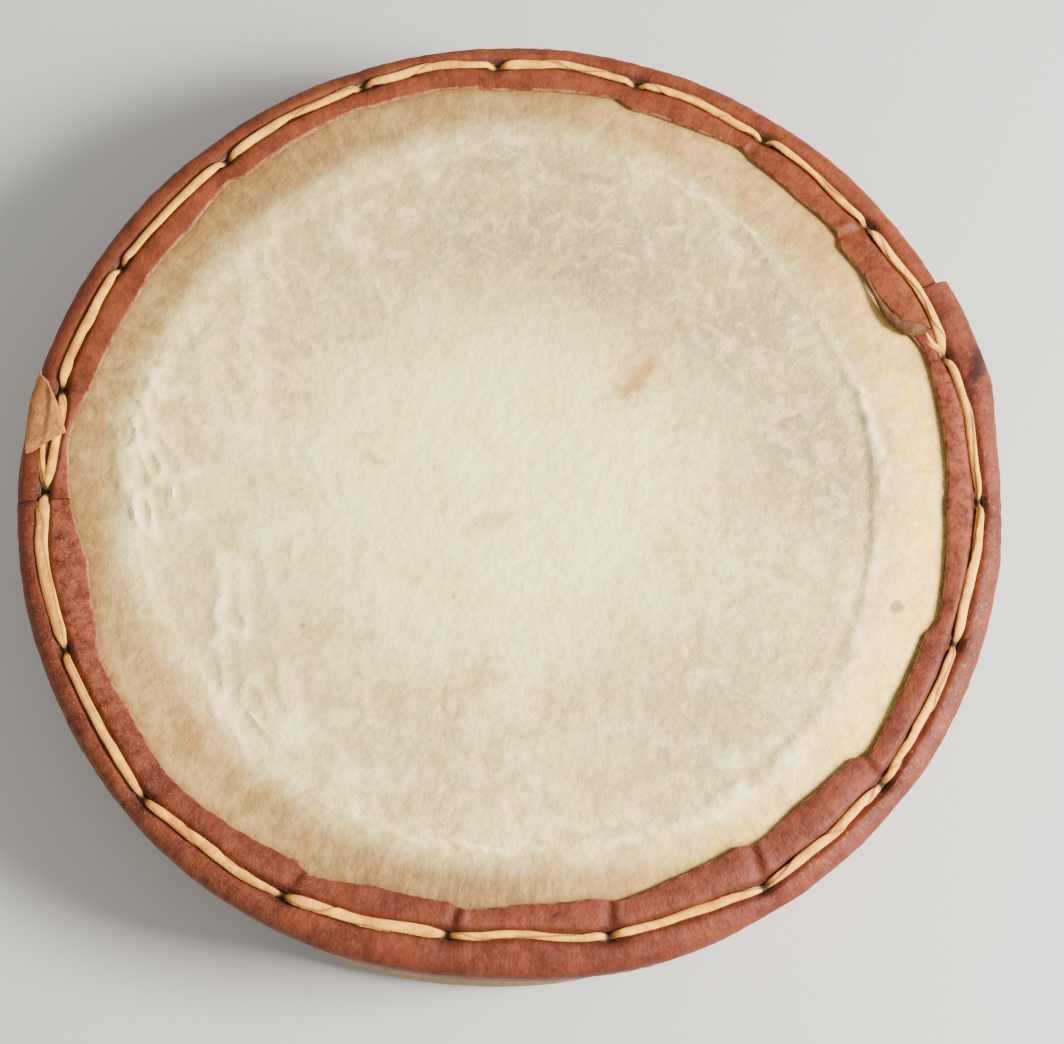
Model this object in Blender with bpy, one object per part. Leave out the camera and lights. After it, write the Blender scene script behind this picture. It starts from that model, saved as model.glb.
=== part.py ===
"""A single-headed ritual drum, lying on its foot.

A hollowed wooden ring carries a rawhide head. Two lengths of red leather are folded
over the rim, and a flat thong is laced through leather and hide. The head faces +Z,
and the origin is the middle of the foot, on the surface that the drum stands on.
Lengths are metres and angles are degrees, counted counter-clockwise from +X.
"""

import bpy
import bmesh
from math import cos, sin, pi, radians

# Clearance between pieces that touch
FIT_GAP = 0.0003

# Wooden ring
SHELL_HEIGHT = 0.054
SHELL_OUTER_RADIUS = 0.1377
SHELL_WALL = 0.0312
CROWN_RADIUS = 0.004
SHOULDER_RADIUS = 0.0015
TOP_SLOPE = 4.5
SIDE_DRAW = 3.5
FOOT_CHAMFER = 0.0012

# Carved and dried unevenly: middle of each swelling or flat, half its spread, its height
OUT_OF_ROUND = ((232.0, 26.0, 0.0007), (269.0, 22.0, -0.0016))

# Rawhide head. Waves are given by their number round the rim, turn and share of the height
HIDE_THICKNESS = 0.0011
HIDE_SAG = 0.0025
HIDE_SAG_POWER = 4
HIDE_RINGS = (0.5, 0.82)
HEM_HEIGHT = 0.010
HEM_WAVE = 0.0015
HEM_WAVES = ((3, 40.0, 1.0), (7, 110.0, 0.6))
HEM_FLARE = (262.0, 30.0, 0.0028)

# Red leather strips
STRIP_THICKNESS = 0.0014
STRIP_SIDE_DROP = 0.0125
STRIP_SIDE_WAVE = 0.0008
STRIP_SIDE_WAVES = ((5, 20.0, 1.0), (11, 0.0, 0.5))
STRIP_PUFF = 0.0006
STRIP_HOLLOW = 0.0012
LACE_SIDE_MARGIN = 0.0024
STRIP_REACH = 0.5

# Columns across a strip, from its inner edge to its lower edge: how much of a puff and of
# the standing off each takes, and how many of them the rolled end lies over
PUFF_SHARES = (0.0, 1.0, 0.0, 0.0, 0.7, 1.0, 0.0)
STAND_OFF_SHARES = (0.0, 0.0, 0.0, 0.04, 0.7, 1.0, 1.15)
COLUMNS = len(PUFF_SHARES)
ROLL_COLUMNS = 2

# Seams between the strips: the right one runs zigzag from the inner edge to the side
SEAM_GAP = 0.0004
LEFT_SEAM = 185.0
RIGHT_SEAM_EDGE = 26.5
RIGHT_SEAM_LACE = 21.0
RIGHT_SEAM_SIDE = 27.3

# End of the upper strip rolled up, and end of the lower strip standing off the rim
ROLL_WIDTH = 0.0046
ROLL_HEIGHT = 0.0040
ROLL_STEPS = (0.15, 0.5, 0.85, 1.0)
ROLL_REACH = 0.85
STAND_OFF = 0.0033
STAND_OFF_START = 4.0
STAND_OFF_FULL = 15.0

# Lacing holes: angle, distance outside the stitch circle and width of leather inside the hole
STITCH_INSET = 0.0050
HOLES = (
    (17.5, -0.0008, 0.0060), (37.5, 0.0000, 0.0098), (55.5, -0.0006, 0.0070), (74.0, -0.0002, 0.0086),
    (92.5, 0.0002, 0.0082), (110.5, 0.0009, 0.0072), (131.0, -0.0007, 0.0078), (151.0, -0.0002, 0.0092),
    (169.0, -0.0002, 0.0084), (182.5, -0.0004, 0.0076), (203.0, 0.0005, 0.0084), (223.5, 0.0020, 0.0090),
    (243.5, -0.0007, 0.0080), (263.5, -0.0023, 0.0086), (282.5, -0.0011, 0.0098), (301.5, 0.0014, 0.0114),
    (320.0, 0.0013, 0.0094), (339.5, 0.0000, 0.0078), (358.0, 0.0007, 0.0090),
)
STATIONS_PER_STITCH = 4
RIGHT_HOLE = 0
LEFT_HOLE = 9

# Thong and its slots. Its roll is given by the share of the way through a stitch, and by
# how much of the whole roll it has there
THONG_WIDTH = 0.0031
THONG_THICKNESS = 0.0019
THONG_HOLE_WIDTH = 0.0023
THONG_HOLE_THICKNESS = 0.0015
THONG_END_WIDTH = 0.0016
THONG_ROLL = 26.0
THONG_ROLL_PLACES = ((0.34, 1.0), (0.62, -0.5))
THONG_BOW = 0.65
THONG_SIDES = 8
THONG_BESIDE_FLAP = 0.85
SLOT_LENGTH = 0.0068
SLOT_SIDE_CLEARANCE = 0.0006
SLOT_TAPER = 0.7
SLOT_OVERSHOOT = 0.002

# Loose ends of the thong: tails, by how far aside they lie as they rise, and blunt ends
TAIL_WIDTH = 0.0020
TAIL_RISE_SHARES = (0.2, 0.6)
TAIL_STRAIGHTENS = 0.8
RIGHT_TAIL_LENGTH = 0.0062
RIGHT_TAIL_OFFSET = -0.0019
LEFT_TAIL_LENGTH = 0.0180
LEFT_TAIL_OFFSET = 0.0013
END_OFFSET = 0.0016
END_CLEARANCE = 0.000475

# Undyed flap at the left: angle along it, and how far its free edge reaches inside the stitch line
TAB_THICKNESS = 0.0014
TAB_EDGE = ((167.0, -0.0052), (169.6, -0.0026), (171.6, 0.0008), (173.3, 0.0028), (175.0, 0.0047))
TAB_SLANT = 1.9
TAB_SIDE_DROP = 0.0050

# Edges sharper than this aren't shaded smooth
SHARP_ANGLE = 35.0

# Worked out from the sizes above
BORE_RADIUS = SHELL_OUTER_RADIUS - SHELL_WALL
CROWN_TOP_RADIUS = BORE_RADIUS + CROWN_RADIUS
STITCH_RADIUS = SHELL_OUTER_RADIUS - STITCH_INSET
SLOPE = radians(TOP_SLOPE)
DRAW = radians(SIDE_DRAW)
HIDE_UNDER = FIT_GAP
HIDE_TOP = HIDE_UNDER + HIDE_THICKNESS
STRIP_UNDER = HIDE_TOP + FIT_GAP
STRIP_TOP = STRIP_UNDER + STRIP_THICKNESS
THONG_UNDER = STRIP_TOP + FIT_GAP
SLOT_WIDTH = THONG_HOLE_WIDTH + 2 * SLOT_SIDE_CLEARANCE

# Lengths along the outside of the wood, from the top of the crown outwards and down
CROWN_ARC = CROWN_RADIUS * SLOPE
CROWN_END_RADIUS = CROWN_TOP_RADIUS + CROWN_RADIUS * sin(SLOPE)
SHOULDER_CENTRE_RADIUS = SHELL_OUTER_RADIUS - SHOULDER_RADIUS
TOP_LENGTH = (SHOULDER_CENTRE_RADIUS + SHOULDER_RADIUS * sin(SLOPE) - CROWN_END_RADIUS) / cos(SLOPE)
SHOULDER_START = CROWN_ARC + TOP_LENGTH
SHOULDER_ARC = SHOULDER_RADIUS * (pi / 2 - SLOPE + DRAW)
SHOULDER_MIDDLE = SHOULDER_START + SHOULDER_ARC / 2
SHOULDER_END = SHOULDER_START + SHOULDER_ARC
SHOULDER_CENTRE_HEIGHT = (SHELL_HEIGHT - CROWN_RADIUS * (1 - cos(SLOPE)) - TOP_LENGTH * sin(SLOPE)
                          - SHOULDER_RADIUS * cos(SLOPE))
SIDE_TOP_HEIGHT = SHOULDER_CENTRE_HEIGHT - SHOULDER_RADIUS * sin(DRAW)
STITCH_LINE = CROWN_ARC + (STITCH_RADIUS - CROWN_END_RADIUS) / cos(SLOPE)
STRIP_EDGE_HEIGHT = SIDE_TOP_HEIGHT - STRIP_SIDE_DROP


def bump(angle, middle, spread, height):
    """A smooth rise round `middle`, zero beyond `spread` to either side."""
    away = abs((angle - middle + 180.0) % 360.0 - 180.0)
    return height * cos(pi / 2 * away / spread) ** 2 if away < spread else 0.0


def smooth_step(value, low, high):
    share = min(max((value - low) / (high - low), 0.0), 1.0)
    return share * share * (3 - 2 * share)


def out_of_round(angle):
    return sum(bump(angle, *swelling) for swelling in OUT_OF_ROUND)


def rim_section(along, lift):
    """Radius and height of a point `along` the outside of the wood, `lift` above it."""
    if along < CROWN_ARC:
        facing = pi / 2 - along / CROWN_RADIUS
        radius = CROWN_RADIUS + lift
        return (CROWN_TOP_RADIUS + radius * cos(facing),
                SHELL_HEIGHT - CROWN_RADIUS + radius * sin(facing))
    if along < SHOULDER_START:
        run = along - CROWN_ARC
        return (CROWN_END_RADIUS + run * cos(SLOPE) + lift * sin(SLOPE),
                SHELL_HEIGHT - CROWN_RADIUS * (1 - cos(SLOPE)) - run * sin(SLOPE) + lift * cos(SLOPE))
    if along < SHOULDER_END:
        facing = pi / 2 - SLOPE - (along - SHOULDER_START) / SHOULDER_RADIUS
        radius = SHOULDER_RADIUS + lift
        return (SHOULDER_CENTRE_RADIUS + radius * cos(facing),
                SHOULDER_CENTRE_HEIGHT + radius * sin(facing))
    drop = along - SHOULDER_END
    radius = SHOULDER_RADIUS + lift
    return (SHOULDER_CENTRE_RADIUS + radius * cos(DRAW) - drop * sin(DRAW),
            SHOULDER_CENTRE_HEIGHT - radius * sin(DRAW) - drop * cos(DRAW))


def side_at(height):
    """How far along the wood's outside its side reaches a given height."""
    return SHOULDER_END + (SIDE_TOP_HEIGHT - height) / cos(DRAW)


def turned(angle, radius, height):
    turn = radians(angle)
    return (radius * cos(turn), radius * sin(turn), height)


def rim_point(angle, along, lift):
    """The same point in space, with the uneven roundness of the ring."""
    radius, height = rim_section(along, lift)
    share = min(max(along / STITCH_LINE, 0.0), 1.0)
    return turned(angle, radius + share * out_of_round(angle), height)


def material(name, colour, roughness):
    finish = bpy.data.materials.new(name)
    finish.use_nodes = True
    shader = finish.node_tree.nodes["Principled BSDF"]
    shader.inputs["Base Color"].default_value = (*colour, 1.0)
    shader.inputs["Roughness"].default_value = roughness
    shader.inputs["Metallic"].default_value = 0.0
    return finish


def add_object(name, points, faces, finish=None):
    """One closed body, faces outward, shaded smooth up to its sharp edges."""
    mesh = bpy.data.meshes.new(name)
    mesh.from_pydata(points, [], faces)
    work = bmesh.new()
    work.from_mesh(mesh)
    bmesh.ops.recalc_face_normals(work, faces=work.faces)
    bmesh.ops.triangulate(work, faces=[face for face in work.faces if len(face.verts) > 3])
    work.to_mesh(mesh)
    work.free()
    mesh.shade_smooth()
    mesh.set_sharp_from_angle(angle=radians(SHARP_ANGLE))
    body = bpy.data.objects.new(name, mesh)
    bpy.context.collection.objects.link(body)
    if finish:
        mesh.materials.append(finish)
    return body


def turned_solid(name, sections, finish):
    """Closed sections, one at each station round the ring, joined into a ring."""
    count = len(sections)
    size = len(sections[0])
    points = [point for section in sections for point in section]
    faces = []
    for station in range(count):
        here = station * size
        ahead = (station + 1) % count * size
        for corner in range(size):
            after = (corner + 1) % size
            faces.append((here + corner, here + after, ahead + after, ahead + corner))
    return add_object(name, points, faces, finish)


def sheet_solid(name, top, bottom, finish, closed=False, pole=None):
    """The space between two grids of points, [station][column], as one body.

    A closed sheet runs all the way round, and its first column is the pole, a pair of
    single points on top and bottom where there is one.
    """
    count = len(top)
    columns = len(top[0])
    points = [point for row in top for point in row] + [point for row in bottom for point in row]
    under = count * columns
    faces = []
    for station in range(count if closed else count - 1):
        here = station * columns
        ahead = (station + 1) % count * columns
        for column in range(columns - 1):
            quad = (here + column, here + column + 1, ahead + column + 1, ahead + column)
            faces.append(quad)
            faces.append(tuple(under + index for index in reversed(quad)))
        last = columns - 1
        faces.append((here + last, under + here + last, under + ahead + last, ahead + last))
        if pole:
            faces.append((len(points), here, ahead))
            faces.append((len(points) + 1, under + ahead, under + here))
        else:
            faces.append((ahead, under + ahead, under + here, here))
    if not closed:
        for end in (0, (count - 1) * columns):
            for column in range(end, end + columns - 1):
                faces.append((column, under + column, under + column + 1, column + 1))
    points.extend(pole or ())
    return add_object(name, points, faces, finish)


def hole(index):
    """Angle and place along the rim of a lacing hole, counted round past the first."""
    angle, offset, _ = HOLES[index % len(HOLES)]
    return angle + 360.0 * (index // len(HOLES)), STITCH_LINE + offset


def ring_stations():
    """Angle, place of the stitch line and width of leather inside it, all round."""
    stations = []
    for index in range(len(HOLES)):
        start, start_along = hole(index)
        end, end_along = hole(index + 1)
        start_margin = HOLES[index][2]
        end_margin = HOLES[(index + 1) % len(HOLES)][2]
        for step in range(STATIONS_PER_STITCH):
            share = step / STATIONS_PER_STITCH
            hollow = 4 * share * (1 - share)
            sag = STITCH_RADIUS * (1 - cos(radians(end - start) / 2)) + STRIP_HOLLOW
            stations.append((
                start + share * (end - start),
                start_along + share * (end_along - start_along),
                start_margin + share * (end_margin - start_margin) + hollow * sag,
            ))
    return stations


STATIONS = ring_stations()


def station_at(angle):
    """Stitch line and leather margin at any angle, between the stations beside it."""
    first = STATIONS[0][0]
    angle = first + (angle - first) % 360.0
    following = STATIONS[1:] + [(first + 360.0, *STATIONS[0][1:])]
    for (low, along, margin), (high, next_along, next_margin) in zip(STATIONS, following):
        if angle <= high:
            share = (angle - low) / (high - low)
            return along + share * (next_along - along), margin + share * (next_margin - margin)


def wave_sum(angle, waves):
    return sum(share * sin(radians(number * angle + turn)) for number, turn, share in waves)


def hem_height(angle):
    return HEM_HEIGHT + HEM_WAVE * wave_sum(angle, HEM_WAVES)


def strip_edge(angle):
    return side_at(STRIP_EDGE_HEIGHT + STRIP_SIDE_WAVE * wave_sum(angle, STRIP_SIDE_WAVES))


def make_shell(finish):
    """The wooden ring: foot, drawn side, shoulder, sloping top, round crown and bore."""
    foot_radius = rim_section(side_at(FOOT_CHAMFER), 0.0)[0]
    sections = []
    for angle, _, _ in STATIONS:
        uneven = out_of_round(angle)
        section = [
            turned(angle, BORE_RADIUS, FOOT_CHAMFER),
            turned(angle, BORE_RADIUS + FOOT_CHAMFER, 0.0),
            turned(angle, foot_radius - FOOT_CHAMFER + uneven, 0.0),
            turned(angle, foot_radius + uneven, FOOT_CHAMFER),
        ]
        for along in (SHOULDER_END, SHOULDER_MIDDLE, SHOULDER_START, 0.0):
            section.append(rim_point(angle, along, 0.0))
        section.append(rim_point(angle, -CROWN_RADIUS * pi / 2, 0.0))
        sections.append(section)
    return turned_solid("wooden_shell", sections, finish)


def membrane_height(share, lift):
    """Height of the free part of the head, by its share of the crown's radius."""
    return SHELL_HEIGHT + lift - HIDE_SAG * (1 - share ** HIDE_SAG_POWER)


def hide_row(angle, lift):
    """The hide from the first ring round its middle out to the hem, at one angle."""
    row = [turned(angle, share * CROWN_TOP_RADIUS, membrane_height(share, lift)) for share in HIDE_RINGS]
    for along in (0.0, SHOULDER_START, SHOULDER_MIDDLE, SHOULDER_END, side_at(STRIP_EDGE_HEIGHT)):
        row.append(rim_point(angle, along, lift))
    row.append(rim_point(angle, side_at(hem_height(angle)), lift + bump(angle, *HEM_FLARE)))
    return row


def make_head(finish):
    """The rawhide head: a sagging membrane, the rim and the side down to the hem."""
    top = [hide_row(angle, HIDE_TOP) for angle, _, _ in STATIONS]
    bottom = [hide_row(angle, HIDE_UNDER) for angle, _, _ in STATIONS]
    pole = [(0.0, 0.0, membrane_height(0.0, lift)) for lift in (HIDE_TOP, HIDE_UNDER)]
    return sheet_solid("drum_head", top, bottom, finish, closed=True, pole=pole)


def right_seam(column_along, angle):
    """Angle of the right-hand seam across the strip, a zigzag with its tip at the thong."""
    stitch, margin = station_at(angle)
    if column_along < stitch:
        share = min((stitch - column_along) / margin, 1.0)
        return RIGHT_SEAM_LACE + share * (RIGHT_SEAM_EDGE - RIGHT_SEAM_LACE)
    share = min((column_along - stitch) / (SHOULDER_END - stitch), 1.0)
    return RIGHT_SEAM_LACE + share * (RIGHT_SEAM_SIDE - RIGHT_SEAM_LACE)


def strip_columns(angle, reach=STRIP_REACH):
    """Places across a strip, from its inner edge over the shoulder to its lower edge.

    The second lies a share `reach` of the way from the inner edge to the thong.
    """
    stitch, margin = station_at(angle)
    lace_side = stitch - LACE_SIDE_MARGIN
    inner = stitch - margin
    return (inner, inner + reach * (lace_side - inner), lace_side, SHOULDER_START, SHOULDER_MIDDLE,
            SHOULDER_END, strip_edge(angle))


def strip_puff(angle, column):
    """Leather swells between the holes, where the thong doesn't hold it down."""
    first = STATIONS[0][0]
    turn = first + (angle - first) % 360.0
    for index in range(len(HOLES)):
        start, end = hole(index)[0], hole(index + 1)[0]
        if start <= turn <= end:
            return STRIP_PUFF * PUFF_SHARES[column] * sin(pi * (turn - start) / (end - start))
    return 0.0


def strip_rows(stops, stand_off):
    """Top and bottom grids of a strip from its stops, one list of column angles each.

    A stop is (angles, roll, reach): the angle of every column there, the height of the
    rolled end over its inner columns, and how far out the second column lies.
    """
    top, bottom = [], []
    for angles, roll, reach in stops:
        top_row, bottom_row = [], []
        for column, angle in enumerate(angles):
            along = strip_columns(angle, reach)[column]
            off = stand_off(angle) * STAND_OFF_SHARES[column]
            rolled = roll if column < ROLL_COLUMNS else 0.0
            top_lift = STRIP_TOP + off + rolled + strip_puff(angle, column)
            top_row.append(rim_point(angle, along, top_lift))
            bottom_row.append(rim_point(angle, along, STRIP_UNDER + off))
        top.append(top_row)
        bottom.append(bottom_row)
    return top, bottom


def seam_stop(shift):
    """Column angles along the right-hand seam, moved round by a length `shift`."""
    angles = []
    for along in strip_columns(RIGHT_SEAM_LACE, ROLL_REACH):
        turn = shift / rim_section(along, STRIP_UNDER)[0] * 180.0 / pi
        angles.append(right_seam(along, RIGHT_SEAM_LACE) + turn)
    return angles


def level_stop(angle):
    return ([angle] * COLUMNS, 0.0, STRIP_REACH)


def make_upper_strip(finish):
    """From the right-hand seam, where its inner end is rolled up, round to the left one."""
    stops = [(seam_stop(0.0), 0.0, ROLL_REACH)]
    for share in ROLL_STEPS:
        across = 2 * share - 1
        roll = ROLL_HEIGHT * max(1 - across * across, 0.0) ** 0.5
        stops.append((seam_stop(share * ROLL_WIDTH), roll, ROLL_REACH))
    rolled_to = max(stops[-1][0])
    stops += [level_stop(angle) for angle, _, _ in STATIONS if rolled_to < angle < LEFT_SEAM]
    stops.append(level_stop(LEFT_SEAM))
    top, bottom = strip_rows(stops, lambda angle: 0.0)
    return sheet_solid("binding_upper", top, bottom, finish)


def make_lower_strip(finish):
    """From the left-hand seam round to the right one, where its outer end stands off."""
    start = LEFT_SEAM + SEAM_GAP / STITCH_RADIUS * 180.0 / pi
    beyond = RIGHT_SEAM_LACE + 360.0
    stops = [level_stop(start)]
    for angle, _, _ in STATIONS + [(STATIONS[0][0] + 360.0, 0.0, 0.0)]:
        if start < angle < beyond:
            stops.append(level_stop(angle))
    stops.append(([angle + 360.0 for angle in seam_stop(-SEAM_GAP)], 0.0, ROLL_REACH))

    def stand_off(angle):
        turn = (angle + 90.0) % 360.0 - 90.0
        return STAND_OFF * smooth_step(turn, STAND_OFF_START, STAND_OFF_FULL) if turn < 90.0 else 0.0

    top, bottom = strip_rows(stops, stand_off)
    return sheet_solid("binding_lower", top, bottom, finish)


def make_slot_cutters():
    """One long six-sided prism at each lacing hole, through leather and hide."""
    half_length = SLOT_LENGTH / 2
    half_width = SLOT_WIDTH / 2
    straight = half_length * SLOT_TAPER
    outline = ((-half_length, 0.0), (-straight, -half_width), (straight, -half_width),
               (half_length, 0.0), (straight, half_width), (-straight, half_width))
    points, faces = [], []
    for index in range(len(HOLES)):
        angle, along = hole(index)
        base = len(points)
        for lift in (-SLOT_OVERSHOOT, STRIP_TOP + SLOT_OVERSHOOT):
            for forward, outward in outline:
                turn = forward / STITCH_RADIUS * 180.0 / pi
                points.append(rim_point(angle + turn, along + outward, lift))
        count = len(outline)
        faces.append([base + corner for corner in reversed(range(count))])
        faces.append([base + count + corner for corner in range(count)])
        for corner in range(count):
            after = (corner + 1) % count
            faces.append((base + corner, base + after, base + count + after, base + count + corner))
    cutter = add_object("slot_cutters", points, faces)
    cutter.hide_render = True
    cutter.display_type = "WIRE"
    return cutter


def cut_slots(body, cutter):
    cut = body.modifiers.new("stitch slots", "BOOLEAN")
    cut.operation = "DIFFERENCE"
    cut.solver = "EXACT"
    cut.object = cutter


def thong_node(angle, along, rise, width, thickness, roll=0.0):
    """One section of the thong, its underside between the wood (rise 0) and the strip (1)."""
    under = FIT_GAP + rise * (THONG_UNDER - FIT_GAP)
    lean = radians(roll)
    half_height = ((width / 2 * sin(lean)) ** 2 + (thickness / 2 * cos(lean)) ** 2) ** 0.5
    section = []
    for side in range(THONG_SIDES):
        turn = 2 * pi * (side + 0.5) / THONG_SIDES
        across = width / 2 * cos(turn)
        up = thickness / 2 * sin(turn)
        section.append(rim_point(
            angle,
            along + across * cos(lean) - up * sin(lean),
            under + half_height + across * sin(lean) + up * cos(lean),
        ))
    return section


def dip_lengths():
    """Distances from a hole's middle where the thong is half-way up and wholly up."""
    up = SLOT_LENGTH / 2 - FIT_GAP
    return up / 2, up


def stitch_sections(index):
    """Sections of one stitch, from the bottom of its first hole up to the next dip."""
    start, start_along = hole(index)
    end, end_along = hole(index + 1)
    length = radians(end - start) * STITCH_RADIUS
    sag = STITCH_RADIUS * (1 - cos(radians(end - start) / 2)) * (1 - THONG_BOW)
    half_up, wholly_up = (distance / length for distance in dip_lengths())
    lean = THONG_ROLL * (1 if index % 2 else -1)
    mean_width = (THONG_WIDTH + THONG_HOLE_WIDTH) / 2
    stops = [
        (0.0, 0.0, THONG_HOLE_WIDTH, THONG_HOLE_THICKNESS, 0.0),
        (half_up, 0.5, THONG_HOLE_WIDTH, THONG_HOLE_THICKNESS, 0.0),
        (wholly_up, 1.0, mean_width, THONG_THICKNESS, 0.0),
    ]
    stops += [(place, 1.0, THONG_WIDTH, THONG_THICKNESS, part * lean) for place, part in THONG_ROLL_PLACES]
    stops += [
        (1 - wholly_up, 1.0, mean_width, THONG_THICKNESS, 0.0),
        (1 - half_up, 0.5, THONG_HOLE_WIDTH, THONG_HOLE_THICKNESS, 0.0),
    ]
    sections = []
    for share, rise, width, thickness, roll in stops:
        along = start_along + share * (end_along - start_along) - sag * 4 * share * (1 - share)
        sections.append(thong_node(start + share * (end - start), along, rise, width, thickness, roll))
    return sections


def tail_sections(index, length, offset, direction):
    """A narrow tail that rises from a hole and lies beside the other thong."""
    angle, along = hole(index)
    half_up, wholly_up = dip_lengths()
    low_share, high_share = TAIL_RISE_SHARES
    stops = (
        (half_up, 0.5, offset * low_share, THONG_HOLE_WIDTH),
        (wholly_up, 1.0, offset * high_share, TAIL_WIDTH),
        (min(2 * wholly_up, length * TAIL_STRAIGHTENS), 1.0, offset, TAIL_WIDTH),
        (length, 1.0, offset, TAIL_WIDTH),
    )
    sections = []
    for distance, rise, aside, width in stops:
        turn = direction * distance / STITCH_RADIUS * 180.0 / pi
        sections.append(thong_node(angle + turn, along + aside, rise, width, THONG_HOLE_THICKNESS))
    return sections


def thong_solid(name, sections, finish):
    """Sections joined into one round-sided strand, closed at both ends."""
    size = THONG_SIDES
    points = [point for section in sections for point in section]
    faces = []
    for step in range(len(sections) - 1):
        for corner in range(size):
            after = (corner + 1) % size
            here = step * size
            faces.append((here + corner, here + after, here + size + after, here + size + corner))
    last = (len(sections) - 1) * size
    faces.append(list(reversed(range(size))))
    faces.append([last + corner for corner in range(size)])
    return add_object(name, points, faces, finish)


def thong_end(index, direction, offset):
    """Where the upper thong stops, on the leather just short of a shared hole."""
    angle, along = hole(index)
    distance = SLOT_LENGTH / 2 + END_CLEARANCE
    turn = direction * distance / STITCH_RADIUS * 180.0 / pi
    return thong_node(angle + turn, along + offset, 1.0, THONG_END_WIDTH, THONG_HOLE_THICKNESS)


def make_upper_lacing(finish):
    """From the right-hand hole round the top to the left-hand one, leaning aside at both."""
    sections = [thong_end(RIGHT_HOLE, 1, END_OFFSET)]
    sections += stitch_sections(RIGHT_HOLE)[3:]
    for index in range(RIGHT_HOLE + 1, LEFT_HOLE - 1):
        sections += stitch_sections(index)
    sections += stitch_sections(LEFT_HOLE - 1)[:3]
    start, start_along = hole(LEFT_HOLE - 1)
    end, end_along = hole(LEFT_HOLE)
    middle = (start + end) / 2
    beside = (start_along + end_along) / 2 - END_OFFSET
    sections.append(thong_node(middle, beside, 1.0, THONG_WIDTH * THONG_BESIDE_FLAP, THONG_THICKNESS))
    sections.append(thong_end(LEFT_HOLE, -1, -END_OFFSET))
    return thong_solid("lacing_upper", sections, finish)


def make_lower_lacing(finish):
    """From a tail under the flap through the left-hand hole to a tail past the right one."""
    sections = tail_sections(LEFT_HOLE, LEFT_TAIL_LENGTH, LEFT_TAIL_OFFSET, -1)[::-1]
    for index in range(LEFT_HOLE, len(HOLES)):
        sections += stitch_sections(index)
    angle, along = hole(RIGHT_HOLE)
    sections.append(thong_node(angle, along, 0.0, THONG_HOLE_WIDTH, THONG_HOLE_THICKNESS))
    sections += tail_sections(RIGHT_HOLE, RIGHT_TAIL_LENGTH, RIGHT_TAIL_OFFSET, 1)
    return thong_solid("lacing_lower", sections, finish)


def make_tab(finish):
    """The undyed flap: over the thong, then down over the shoulder of the strip."""
    over_thong = THONG_UNDER + THONG_THICKNESS + FIT_GAP
    on_strip = STRIP_TOP + STRIP_PUFF + FIT_GAP
    top, bottom = [], []
    for angle, reach in TAB_EDGE:
        stitch, _ = station_at(angle)
        inner = stitch - reach
        ridge = max(inner, stitch + THONG_WIDTH / 2)
        places = ((inner, over_thong), ((inner + ridge) / 2, over_thong), (ridge, over_thong),
                  (SHOULDER_MIDDLE, on_strip + THONG_THICKNESS / 2), (SHOULDER_END, on_strip),
                  (SHOULDER_END + TAB_SIDE_DROP, on_strip))
        turns = [angle + TAB_SLANT * column / (len(places) - 1) for column in range(len(places))]
        placed = [(turn, along, lift) for turn, (along, lift) in zip(turns, places)]
        top.append([rim_point(turn, along, lift + TAB_THICKNESS) for turn, along, lift in placed])
        bottom.append([rim_point(turn, along, lift) for turn, along, lift in placed])
    return sheet_solid("thong_tab", top, bottom, finish)


def build():
    for old in list(bpy.data.objects):
        bpy.data.objects.remove(old, do_unlink=True)
    wood = material("carved wood", (0.30, 0.17, 0.08), 0.62)
    rawhide = material("rawhide", (0.78, 0.68, 0.50), 0.45)
    red_leather = material("red leather", (0.42, 0.10, 0.05), 0.60)
    pale_leather = material("pale thong leather", (0.72, 0.55, 0.36), 0.70)
    flesh_side = material("undyed suede", (0.58, 0.37, 0.22), 0.85)

    make_shell(wood)
    cutter = make_slot_cutters()
    for body in (make_head(rawhide), make_upper_strip(red_leather), make_lower_strip(red_leather)):
        cut_slots(body, cutter)
    make_upper_lacing(pale_leather)
    make_lower_lacing(pale_leather)
    make_tab(flesh_side)


build()
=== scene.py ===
"""The looks of a single-headed ritual drum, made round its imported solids.

Lengths are metres and angles are degrees, counted counter-clockwise from +X. The drum
stands on its foot at the origin, with its head up. Places on the rim are given by an
angle, by how far they lie `along` the outside of the wood, from the top of its crown
outwards and down, and by their `lift` above the wood.
"""

from math import cos, pi, radians, sin

import bpy
import numpy as np
from mathutils import Matrix, Vector


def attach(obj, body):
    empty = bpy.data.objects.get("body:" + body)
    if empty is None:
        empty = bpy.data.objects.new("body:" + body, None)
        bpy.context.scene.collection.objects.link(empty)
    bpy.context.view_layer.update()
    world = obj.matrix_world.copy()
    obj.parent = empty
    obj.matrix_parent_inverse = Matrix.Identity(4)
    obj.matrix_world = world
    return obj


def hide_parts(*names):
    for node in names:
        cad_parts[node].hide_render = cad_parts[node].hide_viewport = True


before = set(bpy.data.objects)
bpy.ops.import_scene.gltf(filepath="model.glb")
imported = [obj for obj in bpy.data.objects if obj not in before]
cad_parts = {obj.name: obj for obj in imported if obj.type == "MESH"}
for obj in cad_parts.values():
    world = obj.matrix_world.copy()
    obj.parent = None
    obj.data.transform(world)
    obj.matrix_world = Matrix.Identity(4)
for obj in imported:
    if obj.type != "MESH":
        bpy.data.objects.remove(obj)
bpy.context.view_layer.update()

# The photograph's view
CAMERA_TILT = 18.8
CAMERA_TURN = 0.9
CAMERA_DISTANCE = 0.600
CAMERA_LENS = 71.22
CAMERA_SHIFT = (0.02096, -0.0417)
AIM_HEIGHT = 0.0554

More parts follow.
